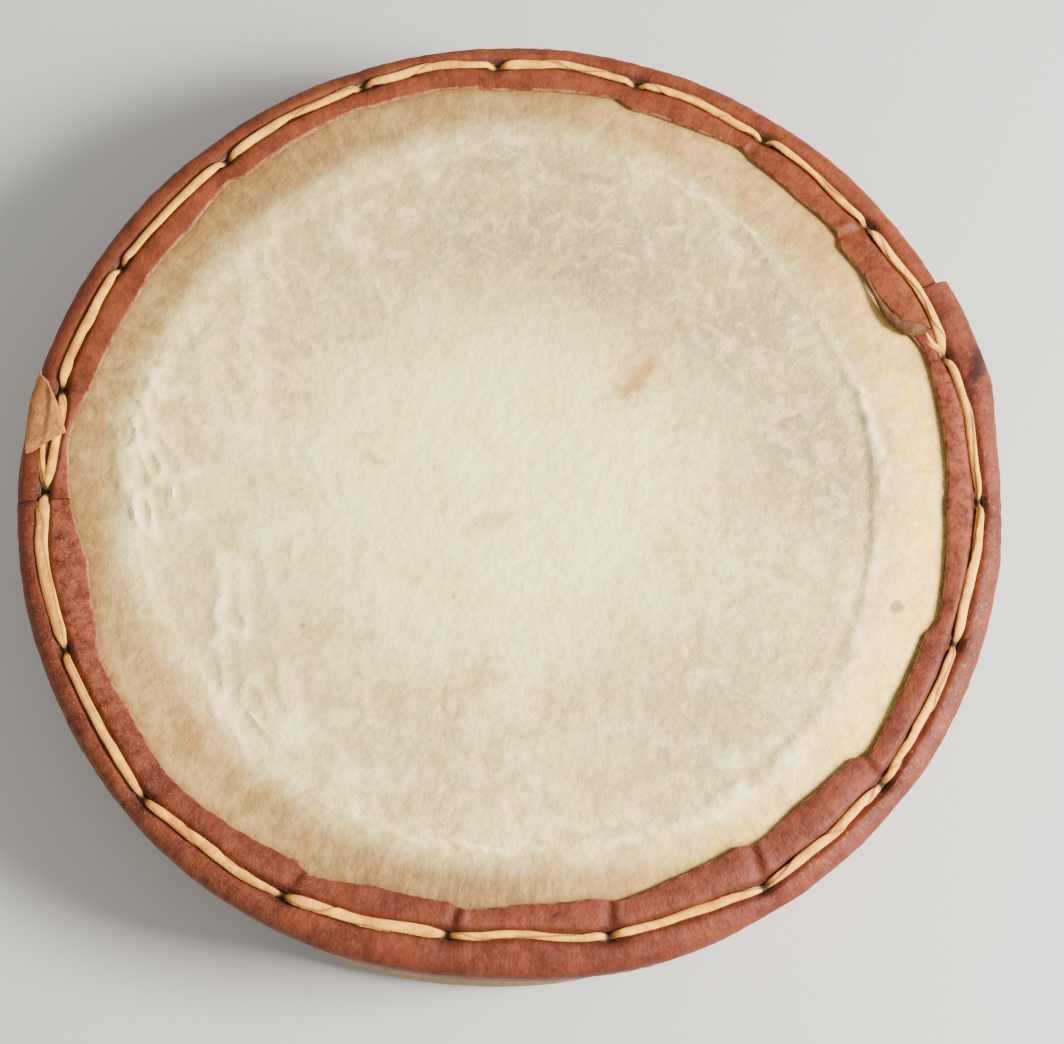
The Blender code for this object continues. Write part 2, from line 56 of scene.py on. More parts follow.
# Wooden ring, as in the solids
SHELL_HEIGHT = 0.054
SHELL_OUTER_RADIUS = 0.1377
SHELL_WALL = 0.0312
CROWN_RADIUS = 0.004
SHOULDER_RADIUS = 0.0015
SLOPE = radians(4.5)
DRAW = radians(3.5)
FOOT_CHAMFER = 0.0012
OUT_OF_ROUND = ((232.0, 26.0, 0.0007), (269.0, 22.0, -0.0016))

# Rawhide head, as in the solids
HIDE_UNDER = 0.0003
HIDE_TOP = 0.0014
HIDE_SAG = 0.0025
HIDE_SAG_POWER = 4
HEM_HEIGHT = 0.010
HEM_WAVE = 0.0015
HEM_WAVES = ((3, 40.0, 1.0), (7, 110.0, 0.6))
HEM_FLARE = (262.0, 30.0, 0.0028)
HEM_RAGGED = 0.0006
HEM_NOISE = (0.006, 1.0, 21)
SKIRT_WAVE = 0.0007
SKIRT_NOISE = (0.014, 0.6, 23)

# Relief of the dried hide: the puckered ring over the wood's inner edge, with its radius,
# height and spread all round and where they change, and the folds that lean across the hide.
# A noise is given by its height, its size and its seed
CREASE_RADIUS = 0.1055
CREASE_DRIFT = ((312.0, 42.0, 0.0048), (180.0, 32.0, 0.0028), (88.0, 32.0, 0.0026),
                (35.0, 30.0, -0.0026), (218.0, 26.0, -0.0016))
CREASE_HEIGHT = 0.0010
CREASE_LEAST = 0.16
CREASE_PLACES = ((262.0, 30.0, 1.00), (312.0, 40.0, 0.85), (4.0, 28.0, 0.75), (52.0, 22.0, 0.85),
                 (190.0, 55.0, 0.50))
CREASE_SPREAD = 0.0009
CREASE_WIDENS = ((312.0, 38.0, 0.0026), (185.0, 50.0, 0.0012), (4.0, 30.0, 0.0008))
FOLD_WIDTH = 0.0048
FOLD_STRETCH = 0.38
FOLD_DIRECTION = -70.0
FOLD_WAVES = ((0.0030, 0.016, 4),)
FOLD_SEED = 3
FOLD_SHARPNESS = 0.24
FOLD_HEIGHT = 0.0009
FOLD_REACH = 0.046
FOLD_PLACES = ((198.0, 68.0, 1.35), (130.0, 62.0, 0.60), (318.0, 70.0, 0.25), (40.0, 60.0, 0.25))
FOLD_LEAST = 0.12
FOLD_FADE_OUT = 0.0045
BREAK_SEED = 5
BREAK_SHARE = 1.9
BREAKS = (-0.45, 0.20)
# How far inside the ring the painted shade beside the folds takes to come in
BESIDE_FADE = 0.004
CREASE_RAGGED = ((0.0012, 0.0065, 7), (0.0009, 0.0026, 8))
CREASE_WHOLE = 0.55
CREASE_BROKEN = ((0.75, 0.010, 9), (0.55, 0.0032, 10))
HOLLOW_DEPTH = 0.30
HOLLOW_PLACE = 0.0040
HOLLOW_SPREAD = 0.0022
HIDE_SWELLS = ((0.00045, 0.030, 11), (0.00022, 0.009, 12))
SWELL_FADE = (-0.004, 0.006)
# Strengths of the highlight painted on the fold ridges and on the puckered ring
FOLD_PAINTED_HIGHLIGHT = 0.85
CREASE_PAINTED_HIGHLIGHT = 1.2

# Greyer patches of the hide: place in millimetres from the middle, spread and strength
GREY_PATCHES = ((3, 84, 34, 1.0), (90, 8, 26, 0.9), (50, -66, 32, 0.65), (-54, 68, 30, 0.5),
                (64, 58, 30, 1.0), (-30, -80, 24, 0.45), (-84, -2, 30, 0.1), (-66, -52, 26, 0.35),
                (40, 62, 20, 0.5))
# Browner places of the rim: middle, half spread and strength
BROWNED = ((262.0, 50.0, 1.00), (128.0, 56.0, 0.85), (85.0, 30.0, 0.40), (40.0, 30.0, 0.30),
           (190.0, 40.0, 0.40))
# Distances from the middle between which the hide gets aged and clouded
AGED = (0.026, 0.0884)
CLOUDED = (0.026, 0.0832)
CLOUDED_SHARE = 0.25
# Where the tan rim begins outside the puckered ring, and how ragged its border is
RIM_OUTWARDS = 0.003
RIM_BLEND = (0.005, 0.008)
RIM_RAGGED = ((0.0015, 0.009, 31),)
# The least, and the places where it rises: of the rim's paler tone, partly its own colour and partly
# painted light on the side towards the key light, and of the painted shadow that the leather's edge casts
# on the hide
RIM_PALE_AND_PAINTED_LIGHT = (0.08, ((340.0, 78.0, 1.0),))
EDGE_SHADOW = (0.35, ((340.0, 80.0, 0.6),))
# Width of that painted shadow, and how far from the edge it is full
EDGE_SHADOW_WIDTH = 0.0026
EDGE_SHADOW_FULL = 0.0003
# Places, each with its half spread and strength: the side painted paler to stand in for light where the key
# light falls off, and the shade at the ring
LEFT_PAINTED_LIGHT = (190.0, 60.0, 0.50)
CREASE_SHADE = (2.0, 30.0, 0.6)
CREASE_SHADE_PLACE = 0.0022
CREASE_SHADE_WIDTH = 0.0008

# Stains on the hide: middle, half length, half width, all in metres, turn, strength and colour
STAINS = (
    (0.0370, 0.0320, 0.0090, 0.0038, 52.0, 1.00, (0.36, 0.165, 0.034)),
    (0.0350, 0.0310, 0.0160, 0.0068, 50.0, 0.55, (0.58, 0.35, 0.10)),
    (0.0498, 0.0479, 0.0038, 0.0030, 0.0, 0.80, (0.42, 0.23, 0.085)),
    (-0.0063, -0.0128, 0.0096, 0.0030, 25.0, 0.55, (0.60, 0.40, 0.13)),
    (-0.0571, -0.0437, 0.0013, 0.0010, 0.0, 0.80, (0.25, 0.17, 0.09)),
    (-0.0394, -0.0471, 0.0038, 0.0034, 0.0, 0.55, (0.46, 0.34, 0.17)),
    (0.1085, -0.0364, 0.0022, 0.0019, 0.0, 0.85, (0.30, 0.15, 0.07)),
    (-0.0153, -0.0347, 0.0006, 0.0005, 0.0, 0.70, (0.25, 0.17, 0.09)),
    (0.0250, 0.0955, 0.0065, 0.0022, -12.0, 0.50, (0.30, 0.19, 0.10)),
    (-0.0780, 0.0830, 0.0130, 0.0050, 42.0, 0.40, (0.25, 0.15, 0.05)),
    (-0.1130, -0.0030, 0.0060, 0.0160, 8.0, 0.35, (0.46, 0.25, 0.06)),
)

# Reds of the two strips: in the hollows, on the plain and on the swellings
UPPER_REDS = ((0.105, 0.0218, 0.0077), (0.170, 0.039, 0.0132), (0.235, 0.062, 0.025))
LOWER_REDS = ((0.085, 0.0170, 0.0071), (0.142, 0.031, 0.0136), (0.225, 0.058, 0.030))
# Places where the leather's swellings are worn brighter: middle, half spread and strength
BRIGHT_WORN = ((196.0, 30.0, 0.75), (3.0, 30.0, 0.65))

# Stains on the red leather, in the same way as those on the hide
LEATHER_STAINS = (
    (0.0144, -0.1228, 0.0017, 0.0006, 38.0, 0.90, (0.050, 0.009, 0.006)),
    (0.1360, 0.0385, 0.0030, 0.0130, -14.0, 0.92, (0.026, 0.0068, 0.0062)),
)

# Red leather strips, as in the solids but for the left seam, which has a raised lip here
STRIP_UNDER = 0.0017
STRIP_THICKNESS = 0.0014
STRIP_TOP = STRIP_UNDER + STRIP_THICKNESS
STRIP_SIDE_DROP = 0.0125
STRIP_SIDE_WAVE = 0.0008
STRIP_SIDE_WAVES = ((5, 20.0, 1.0), (11, 0.0, 0.5))
LEFT_SEAM = 183.8
RIGHT_SEAM_EDGE = 26.5
RIGHT_SEAM_LACE = 21.0
RIGHT_SEAM_SIDE = 27.0
RIGHT_SEAM_BACK = 0.4
RIGHT_SEAM_JOG = 0.0014
LIP_HEIGHT = 0.0014
LIP_LENGTH = 0.0011
LIP_WIDTH = 0.0030
LIP_PAST_SEAM = 0.0008
LIP_PAST_HOLES = 0.0006
SEAM_GAP = 0.0004
SEAM_BLEND = 24.0
STAND_OFF = 0.0033
STAND_OFF_START = 4.0
STAND_OFF_FULL = 15.0
STAND_OFF_END = 90.0
STAND_OFF_BEFORE = 0.002
STAND_OFF_SHARES = (0.0, 0.04, 0.7, 1.0, 1.15)

# Mesh of the strips: stations round each, steps past the inner edge, the end of the plain
# margin before the line of holes, and the closer steps to both sides of that line
UPPER_STATIONS = 530
LOWER_STATIONS = 650
EDGE_STEPS = (0.0, 0.00012, 0.00035, 0.0006)
MARGIN_END = 0.0024
LACE_BED = 0.0018

# Relief of the leather
EDGE_ROUND = EDGE_STEPS[-1]
EDGE_DROP = 0.0004
PUFF_INSIDE = 0.0010
PUFF_OUTSIDE = 0.0006
PUFF_LEAST = (0.45, 0.5)
PUFF_FULLNESS = 0.7
PUFF_SHIFT = 0.8
SIDE_FADE = 0.003
GROOVE_DEPTH = 0.0007
GROOVE_SIDE = (0.0013, 0.0028)
PINCH_DEPTH = 0.0009
PINCH_REACH = 0.0036
PINCH_FLATTENED = 1.3
PLEAT_HEIGHT = 0.0011
PLEAT_SPREAD = 0.0014
PLEAT_PAST_HOLE = 0.0012
PLEAT_LEAN = 0.25
PLEAT_FADE = 0.006
# Unevenness: height, size, how much finer across the strip, and seed
UNEVENNESS = ((0.00022, 0.011, 1.5, 43), (0.00013, 0.0024, 0.35, 44), (0.00007, 0.0013, 1.0, 45))
EDGE_RAGGED = 0.00012
EDGE_NOISE = (0.0021, 1.0, 41)
# Places where the leather has faded, is napped and glints: middle, half spread and strength
FADED = (222.0, 42.0, 1.0)
NAPPED = (205.0, 60.0, 1.0)
NAPPED_LEAST = 0.15
GLINT = (338.0, 62.0, 0.8)
GLINT_PAST_TOP = 0.0004
GLINT_WIDTH = 0.0022
WORN_PUFFS = 0.22
# How far the underside of a strip follows the swellings on its top
HOLLOWED = 0.7

# Stitches, counter-clockwise: angle of the first hole and its distance outside the stitch
# circle; radius of the leather's inner edge just past that hole, half-way and just before
# the next one; how far the thong bows out from the straight line between the two holes,
# in millimetres, early, half-way and late; its width in millimetres; and the height of
# the pleat at the first hole, as a share of the highest
STITCH_RADIUS = 0.1327
STITCHES = (
    (17.5, -0.0008, 0.1264, 0.1219, 0.1210, (2.1, 2.6, 0.6), 2.9, 0.0),
    (37.5, 0.0000, 0.1237, 0.1228, 0.1240, (0.0, 1.1, 1.3), 2.3, 1.0),
    (55.5, -0.0006, 0.1256, 0.1239, 0.1234, (0.7, 1.9, 1.3), 2.4, 0.8),
    (74.0, -0.0002, 0.1256, 0.1248, 0.1242, (1.1, 2.7, 1.5), 2.8, 0.2),
    (92.5, 0.0002, 0.1252, 0.1262, 0.1257, (1.6, 2.6, 0.9), 2.6, 0.1),
    (110.5, 0.0009, 0.1266, 0.1250, 0.1238, (0.9, 2.1, 1.2), 2.6, 0.1),
    (131.0, -0.0007, 0.1256, 0.1227, 0.1232, (1.1, 1.3, 0.8), 2.8, 0.3),
    (151.0, -0.0002, 0.1226, 0.1229, 0.1242, (1.1, 1.3, 1.1), 2.8, 0.2),
    (169.0, -0.0002, 0.1256, 0.1268, 0.1252, (-1.6, -1.3, -0.9), 2.6, 0.0),
    (182.5, -0.0004, 0.1246, 0.1209, 0.1232, (1.3, 2.6, 0.9), 3.8, 0.0),
    (203.0, 0.0005, 0.1252, 0.1242, 0.1254, (0.8, 1.1, 0.6), 2.6, 0.2),
    (223.5, 0.0020, 0.1255, 0.1238, 0.1222, (0.3, 0.7, 1.1), 2.8, 0.3),
    (243.5, -0.0007, 0.1242, 0.1206, 0.1212, (0.4, 1.3, 0.4), 3.1, 0.7),
    (263.5, -0.0023, 0.1228, 0.1208, 0.1210, (0.3, 0.2, 0.5), 2.1, 1.0),
    (282.5, -0.0011, 0.1228, 0.1214, 0.1212, (0.1, 0.3, 0.1), 2.4, 0.9),
    (301.5, 0.0014, 0.1235, 0.1218, 0.1232, (0.2, 0.9, 0.2), 2.6, 1.0),
    (320.0, 0.0013, 0.1262, 0.1244, 0.1242, (0.6, 1.4, 0.7), 2.5, 1.0),
    (339.5, 0.0000, 0.1265, 0.1252, 0.1240, (0.6, 1.1, 0.8), 2.6, 0.5),
    (358.0, 0.0007, 0.1246, 0.1252, 0.1264, (0.8, 2.1, 1.8), 2.5, 0.4),
)
BOW_SHARES = (0.2, 0.5, 0.8)
EDGE_STEP_BEFORE = 0.4
EDGE_STEP_AFTER = 2.0

# Thong and its holes
THONG_THICKNESS = 0.0018
THONG_END_WIDTH = 0.0018
THONG_END_THICKNESS = 0.0012
THONG_TAPER = 0.0060
THONG_TURNING = 330.0
THONG_LEAN = 38.0
THONG_LAP = 0.34
THONG_LAP_SHUTS = 0.93
THONG_NARROWED = 0.10
THONG_NARROWED_NOISE = (0.009, 1.0, 61)
THONG_WAVE = 0.00025
THONG_WAVE_NOISE = (0.007, 1.0, 62)
THONG_TURNING_NOISE = (0.018, 1.0, 63)
THONG_LEAN_NOISE = (0.013, 1.0, 64)
# Distances from a hole over which the painted shade on the thong fades out
THONG_HOLE_SHADE = (0.0006, 0.0026)
DIP_FLAT = 0.0006
DIP_REACH = 0.0034
HOLE_HALF_LENGTH = 0.0030
HOLE_HALF_WIDTH = 0.00135
HIDE_HOLE_HALF_LENGTH = 0.0034
HIDE_HOLE_HALF_WIDTH = 0.0016
RIGHT_HOLE = 0
LEFT_HOLE = 9
STRAND_STEP = 0.0007
STRAND_SIDES = 20
# Loose ends: from which hole, how many degrees on, and how far outside the line of holes
TAILS = ((RIGHT_HOLE, 3.4, -0.0030), (LEFT_HOLE, -8.5, 0.0016))
TAIL_WIDTH = 0.0021
TAIL_NARROWED = 0.45
TAIL_NARROWS = 0.8
TAIL_SETTLED = 0.6
# Share of a loose end over which the painted shade from its hole fades out
TAIL_SHADE_FADE = 0.4
TAIL_TURNING = 60.0

# Undyed flap: angles and radii along its inner edge, from its top corner to its tip, angles
# along its outer edge and how far that lies from the top of the shoulder, its drape, and how
# far its two ends and then its inner edge are bevelled, as shares of its size
FLAP_EDGE = ((167.2, 0.1378), (168.6, 0.1362), (171.1, 0.1318), (173.2, 0.1292), (174.9, 0.1275))
FLAP_OUTER = ((167.2, 0.0011), (169.8, 0.0011), (172.4, 0.0010), (175.2, 0.0008), (177.9, 0.0005))
FLAP_ROWS = 60
FLAP_COLUMNS = 56
FLAP_THICKNESS = 0.0011
FLAP_CURL = 0.0004
FLAP_CURLS = ((0.75, 1.0), (0.35, 0.75))
FLAP_PAST_LACE = 0.0008
FLAP_OVER_LACE = (0.0014, 0.0042)
FLAP_FOLLOWS = 0.6
FLAP_BEVEL = (0.12, 0.10)
FLAP_EDGE_SHARE = 0.45
FLAP_NAP = ((0.00012, 0.0012, 71), (0.0003, 0.006, 72))
FIT = 0.0002

# Rolled end of the upper strip: the angles and radii that its middle follows, and its turns,
# radius, thickness and pitch, the last two as shares of the radius
ROLL_PATH = ((32.0, 0.1219), (30.0, 0.1212), (27.8, 0.1205), (25.2, 0.1207), (23.4, 0.1220),
             (22.0, 0.1250), (21.3, 0.1288))
ROLL_ROWS = 70
ROLL_POINTS = 36
ROLL_TURNS = 1.35
ROLL_END_RADIUS = 0.0026
ROLL_START_SHARE = 0.16
ROLL_GROWS = (0.1, 0.85)
ROLL_REST = 0.25
ROLL_THICKNESS = 0.30
ROLL_UNEVEN = 0.13
ROLL_NOISES = ((1.0, 0.0035, 81), (0.6, 0.0014, 82))
ROLL_NOISE_LENGTH = 0.025
ROLL_NOISE_RADIUS = 0.003
ROLL_PITCH = 0.38

# Marks of the knife in the wood's bore
SHELL_STATIONS = 288
KNIFE_DEPTH = 0.0006
KNIFE_WIDTH = 0.011
KNIFE_STRETCH = 0.35
KNIFE_SEED = 91
BORE_INSET = (0.002, 0.001)

# Studio
FLOOR_SIZE = 6.0
FLOOR_GREY = (0.50, 0.495, 0.48)
SURROUND_COLOUR = (1.0, 0.98, 0.95, 1.0)
SURROUND_STRENGTH = 0.77
KEY_AZIMUTH = -12.0
KEY_ELEVATION = 36.0
KEY_DISTANCE = 1.0
KEY_SIZE = 0.30
KEY_POWER = 41.0
KEY_COLOUR = (1.0, 0.96, 0.90)

# Cells along each side of the block of random numbers that noise is drawn from
LATTICE = 48

# Worked out from the sizes above
BORE_RADIUS = SHELL_OUTER_RADIUS - SHELL_WALL
CROWN_TOP_RADIUS = BORE_RADIUS + CROWN_RADIUS
CROWN_ARC = CROWN_RADIUS * SLOPE
CROWN_END_RADIUS = CROWN_TOP_RADIUS + CROWN_RADIUS * sin(SLOPE)
SHOULDER_CENTRE_RADIUS = SHELL_OUTER_RADIUS - SHOULDER_RADIUS
TOP_LENGTH = (SHOULDER_CENTRE_RADIUS + SHOULDER_RADIUS * sin(SLOPE) - CROWN_END_RADIUS) / cos(SLOPE)
SHOULDER_START = CROWN_ARC + TOP_LENGTH
SHOULDER_ARC = SHOULDER_RADIUS * (pi / 2 - SLOPE + DRAW)
SHOULDER_MIDDLE = SHOULDER_START + SHOULDER_ARC / 2
SHOULDER_END = SHOULDER_START + SHOULDER_ARC
SHOULDER_CENTRE_HEIGHT = (SHELL_HEIGHT - CROWN_RADIUS * (1 - cos(SLOPE)) - TOP_LENGTH * sin(SLOPE)
                          - SHOULDER_RADIUS * cos(SLOPE))
SIDE_TOP_HEIGHT = SHOULDER_CENTRE_HEIGHT - SHOULDER_RADIUS * sin(DRAW)
STITCH_LINE = CROWN_ARC + (STITCH_RADIUS - CROWN_END_RADIUS) / cos(SLOPE)
STRIP_EDGE_HEIGHT = SIDE_TOP_HEIGHT - STRIP_SIDE_DROP
DEGREE = STITCH_RADIUS * pi / 180

# Mesh of the hide: stations round the drum, and stretches of columns, each with its start, end
# and count: over the free hide from its middle, and over the rim from the top of its crown
HEAD_STATIONS = 512
FREE_COLUMNS = ((0.0015, 0.044, 11), (0.044, 0.099, 37), (0.099, CROWN_TOP_RADIUS, 15))
RIM_COLUMNS = ((0.0008, 0.0060, 7), (0.0080, STITCH_LINE - 0.0026, 8),
               (STITCH_LINE - 0.0018, STITCH_LINE + 0.0027, 6), (SHOULDER_START, SHOULDER_END, 4))

# Stitches by hole, with lengths in metres
HOLE_ANGLES = np.array([stitch[0] for stitch in STITCHES])
HOLE_ALONG = STITCH_LINE + np.array([stitch[1] for stitch in STITCHES])
HOLE_SPANS = np.diff(np.append(HOLE_ANGLES, HOLE_ANGLES[0] + 360.0))
BOWS = 0.001 * np.array([stitch[5] for stitch in STITCHES])
WIDTHS = 0.001 * np.array([stitch[6] for stitch in STITCHES])
PLEATS = np.array([stitch[7] for stitch in STITCHES])


def smooth_step(value, low, high):
    share = np.clip((value - low) / (high - low), 0.0, 1.0)
    return share * share * (3 - 2 * share)


def away(angle, middle):
    """Signed angle from `middle`, from -180 up to 180."""
    return (angle - middle + 180.0) % 360.0 - 180.0


def bump(angle, middle, spread, height):
    """A smooth rise round `middle`, zero beyond `spread` to either side."""
    off = np.minimum(np.abs(away(angle, middle)) / spread, 1.0)
    return height * np.cos(pi / 2 * off) ** 2


def changing(angle, least, places):
    """A value round the drum: its least one, and the rises on it."""
    return least + sum(bump(angle, *place) for place in places)


def bell(value, spread):
    return np.exp(-(value / spread) ** 2)


def noise(points, size, seed):
    """Smooth noise from -1 to 1 at points (..., 3), with features about `size` across."""
    table = np.random.default_rng(seed).uniform(-1.0, 1.0, (LATTICE,) * 3)
    place = np.asarray(points) / size
    cell = np.floor(place).astype(int)
    share = place - cell
    share = share * share * (3 - 2 * share)
    total = np.zeros(place.shape[:-1])
    for corner in np.ndindex(2, 2, 2):
        side = np.array(corner)
        weight = np.prod(np.where(side, share, 1 - share), axis=-1)
        i, j, k = np.moveaxis((cell + side) % LATTICE, -1, 0)
        total += weight * table[i, j, k]
    return total


def layered(points, layers, start=0.0):
    """`start` and several noises, each given by its height, size and seed."""
    return sum((height * noise(points, size, seed) for height, size, seed in layers), start)


def stacked(x, y, z):
    return np.stack(np.broadcast_arrays(x, y, z), axis=-1)


def turned(angle, radius, height):
    turn = np.radians(angle)
    return stacked(radius * np.cos(turn), radius * np.sin(turn), height)


def ring_noise(angle, across, size, stretch, seed):
    """Noise in a band round the rim, `stretch` times finer across the band than round it."""
    return noise(turned(angle, STITCH_RADIUS, across * stretch), size, seed)


def unit(vectors):
    return vectors / np.linalg.norm(vectors, axis=1)[:, None]


def out_of_round(angle):
    return changing(angle, 0.0, OUT_OF_ROUND)


def rim_section(along, lift):
    """Radius and height of places `along` the outside of the wood, `lift` above it."""
    on_crown = along < CROWN_ARC
    on_top = along < SHOULDER_START
    on_shoulder = along < SHOULDER_END
    crown_facing = pi / 2 - along / CROWN_RADIUS
    run = along - CROWN_ARC
    facing = pi / 2 - SLOPE - (along - SHOULDER_START) / SHOULDER_RADIUS
    reach = SHOULDER_RADIUS + lift
    drop = along - SHOULDER_END
    radius = np.select(
        [on_crown, on_top, on_shoulder],
        [CROWN_TOP_RADIUS + (CROWN_RADIUS + lift) * np.cos(crown_facing),
         CROWN_END_RADIUS + run * cos(SLOPE) + lift * sin(SLOPE),
         SHOULDER_CENTRE_RADIUS + reach * np.cos(facing)],
        SHOULDER_CENTRE_RADIUS + reach * cos(DRAW) - drop * sin(DRAW))
    height = np.select(
        [on_crown, on_top, on_shoulder],
        [SHELL_HEIGHT - CROWN_RADIUS + (CROWN_RADIUS + lift) * np.sin(crown_facing),
         SHELL_HEIGHT - CROWN_RADIUS * (1 - cos(SLOPE)) - run * sin(SLOPE) + lift * cos(SLOPE),
         SHOULDER_CENTRE_HEIGHT + reach * np.sin(facing)],
        SHOULDER_CENTRE_HEIGHT - reach * sin(DRAW) - drop * cos(DRAW))
    return radius, height


def rim_point(angle, along, lift):
    """Places on the rim in space, with the uneven roundness of the ring."""
    angle, along, lift = np.broadcast_arrays(angle, along, lift)
    radius, height = rim_section(along, lift)
    share = np.clip(along / STITCH_LINE, 0.0, 1.0)
    return turned(angle, radius + share * out_of_round(angle), height)


def side_at(height):
    """How far along the wood's outside its side reaches a given height."""
    return SHOULDER_END + (SIDE_TOP_HEIGHT - height) / cos(DRAW)


def top_at(radius):
    """How far along the wood's outside its sloping top reaches a given radius."""
    return CROWN_ARC + (radius - CROWN_END_RADIUS) / cos(SLOPE)


def wave_sum(angle, waves):
    return sum(share * np.sin(np.radians(number * angle + turn)) for number, turn, share in waves)


def hem_height(angle):
    return HEM_HEIGHT + HEM_WAVE * wave_sum(angle, HEM_WAVES)


def strip_edge(angle):
    return side_at(STRIP_EDGE_HEIGHT + STRIP_SIDE_WAVE * wave_sum(angle, STRIP_SIDE_WAVES))


def in_stitch(angle):
    """Which stitch an angle lies in, and its share of the way through it."""
    turn = HOLE_ANGLES[0] + (angle - HOLE_ANGLES[0]) % 360.0
    index = np.clip(np.searchsorted(HOLE_ANGLES, turn, side="right") - 1, 0, len(STITCHES) - 1)
    ends = np.append(HOLE_ANGLES[1:], HOLE_ANGLES[0] + 360.0)
    return index, (turn - HOLE_ANGLES[index]) / (ends[index] - HOLE_ANGLES[index])


def stitch_line(angle):
    """Where the line of holes lies, straight from each one to the next."""
    index, share = in_stitch(angle)
    ahead = HOLE_ALONG[(index + 1) % len(STITCHES)]
    return HOLE_ALONG[index] + share * (ahead - HOLE_ALONG[index])


def lace_line(angle):
    """Where the middle of the thong lies between its holes."""
    index, share = in_stitch(angle)
    chord = STITCH_RADIUS * (1 - np.cos(np.radians(HOLE_SPANS[index]) / 2)) * 4 * share * (1 - share)
    waves = np.array([[sin(n * pi * place) for n in (1, 2, 3)] for place in BOW_SHARES])
    sizes = np.linalg.solve(waves, BOWS.T).T[index]
    bow = sum(sizes[..., n - 1] * np.sin(n * pi * share) for n in (1, 2, 3))
    return stitch_line(angle) - chord + bow


def inner_edge(angle):
    """Where the inner edge of the leather lies: it steps outwards past each hole."""
    angles, radii = [], []
    for index, (start, _, past, middle, before, _, _, _) in enumerate(STITCHES):
        end = STITCHES[index + 1][0] if index + 1 < len(STITCHES) else STITCHES[0][0] + 360.0
        angles += [start + EDGE_STEP_AFTER, (start + end) / 2, end - EDGE_STEP_BEFORE]
        radii += [past, middle, before]
    turn = STITCHES[0][0] + (angle - STITCHES[0][0]) % 360.0
    angles = [angles[-1] - 360.0] + angles
    radii = [radii[-1]] + radii
    return top_at(np.interp(turn, angles, radii))


def nearest_hole(angle, along):
    """Distances round the rim and outwards from the nearest hole, and which hole it is."""
    off = away(np.asarray(angle)[..., None], HOLE_ANGLES)
    index = np.abs(off).argmin(axis=-1)
    round_rim = np.take_along_axis(off, index[..., None], axis=-1)[..., 0] * DEGREE
    return round_rim, along - HOLE_ALONG[index], index


def wound(points):
    """Places by their direction on the stitch circle, and by their distance from the axis."""
    points = np.asarray(points)
    radius = np.maximum(np.hypot(points[:, 0], points[:, 1]), 1e-6)
    around = points[:, :2] / radius[:, None] * STITCH_RADIUS
    return np.column_stack([around, radius - points[:, 2]])


def linked(name, data):
    thing = bpy.data.objects.new(name, data)
    bpy.context.collection.objects.link(thing)
    return thing


def along_places(places, share):
    """The numbers that evenly spaced places have, part of the way from the first to the last."""
    knots = np.linspace(0.0, 1.0, len(places))
    return [np.interp(share, knots, numbers) for numbers in zip(*places)]


def add_mesh(name, points, faces, finish, values=None):
    """A smooth-shaded piece on the drum, with named values kept at its points."""
    mesh = bpy.data.meshes.new(name)
    mesh.from_pydata(points, [], faces)
    mesh.update()
    mesh.shade_smooth()
    mesh.set_sharp_from_angle(angle=radians(50))
    for key, numbers in (values or {}).items():
        kept = mesh.attributes.new(key, "FLOAT", "POINT")
        kept.data.foreach_set("value", np.asarray(numbers, np.float32))
    round_rim = mesh.attributes.new("round", "FLOAT_VECTOR", "POINT")
    round_rim.data.foreach_set("vector", wound(points).astype(np.float32).ravel())
    mesh.materials.append(finish)
    piece = linked(name, mesh)
    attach(piece, "root")
    return piece


def sheet_piece(name, top, bottom, finish, keep=None, closed=False, pole=None, values=None):
    """The space between two grids of points, less the cells that `keep` leaves out.

    The grids have a row for each station round the rim and a column for each step
    outwards. `pole` is a pair of points that close the first column, above and below.
    """
    count, columns = top.shape[:2]
    index = np.arange(count * columns).reshape(count, columns)
    here = index if closed else index[:-1]
    ahead = np.roll(index, -1, axis=0) if closed else index[1:]
    quads = np.stack([here[:, :-1], here[:, 1:], ahead[:, 1:], ahead[:, :-1]], axis=-1)
    quads = quads[keep] if keep is not None else quads.reshape(-1, 4)
    under = count * columns
    edges = quads[:, [[0, 1], [1, 2], [2, 3], [3, 0]]].reshape(-1, 2)
    keys = edges.min(axis=1) * under + edges.max(axis=1)
    _, first, uses = np.unique(keys, return_index=True, return_counts=True)
    rim = edges[first[uses == 1]]
    if pole is not None:
        rim = rim[~((rim % columns == 0).all(axis=1))]
    walls = np.stack([rim[:, 1], rim[:, 0], rim[:, 0] + under, rim[:, 1] + under], axis=-1)
    faces = np.concatenate([quads, quads[:, ::-1] + under, walls]).tolist()
    points = np.concatenate([top.reshape(-1, 3), bottom.reshape(-1, 3)])
    shown = {key: np.tile(np.broadcast_to(numbers, (count, columns)).ravel(), 2)
             for key, numbers in (values or {}).items()}
    shown["underside"] = np.repeat([0.0, 1.0], under)
    if pole is not None:
        centre = len(points)
        points = np.concatenate([points, pole])
        ring, after = here[:, 0], ahead[:, 0]
        faces += np.stack([np.full(count, centre), ring, after], axis=-1).tolist()
        faces += np.stack([np.full(count, centre + 1), after + under, ring + under], axis=-1).tolist()
        shown = {key: np.append(numbers, [numbers[0], numbers[under]]) for key, numbers in shown.items()}
    used = np.zeros(len(points), bool)
    for face in (quads, quads + under, walls):
        used[face.ravel()] = True
    if pole is not None:
        used[-2:] = True
    order = np.cumsum(used) - 1
    faces = [[int(order[corner]) for corner in face] for face in faces]
    shown = {key: numbers[used] for key, numbers in shown.items()}
    return add_mesh(name, points[used].tolist(), faces, finish, shown)


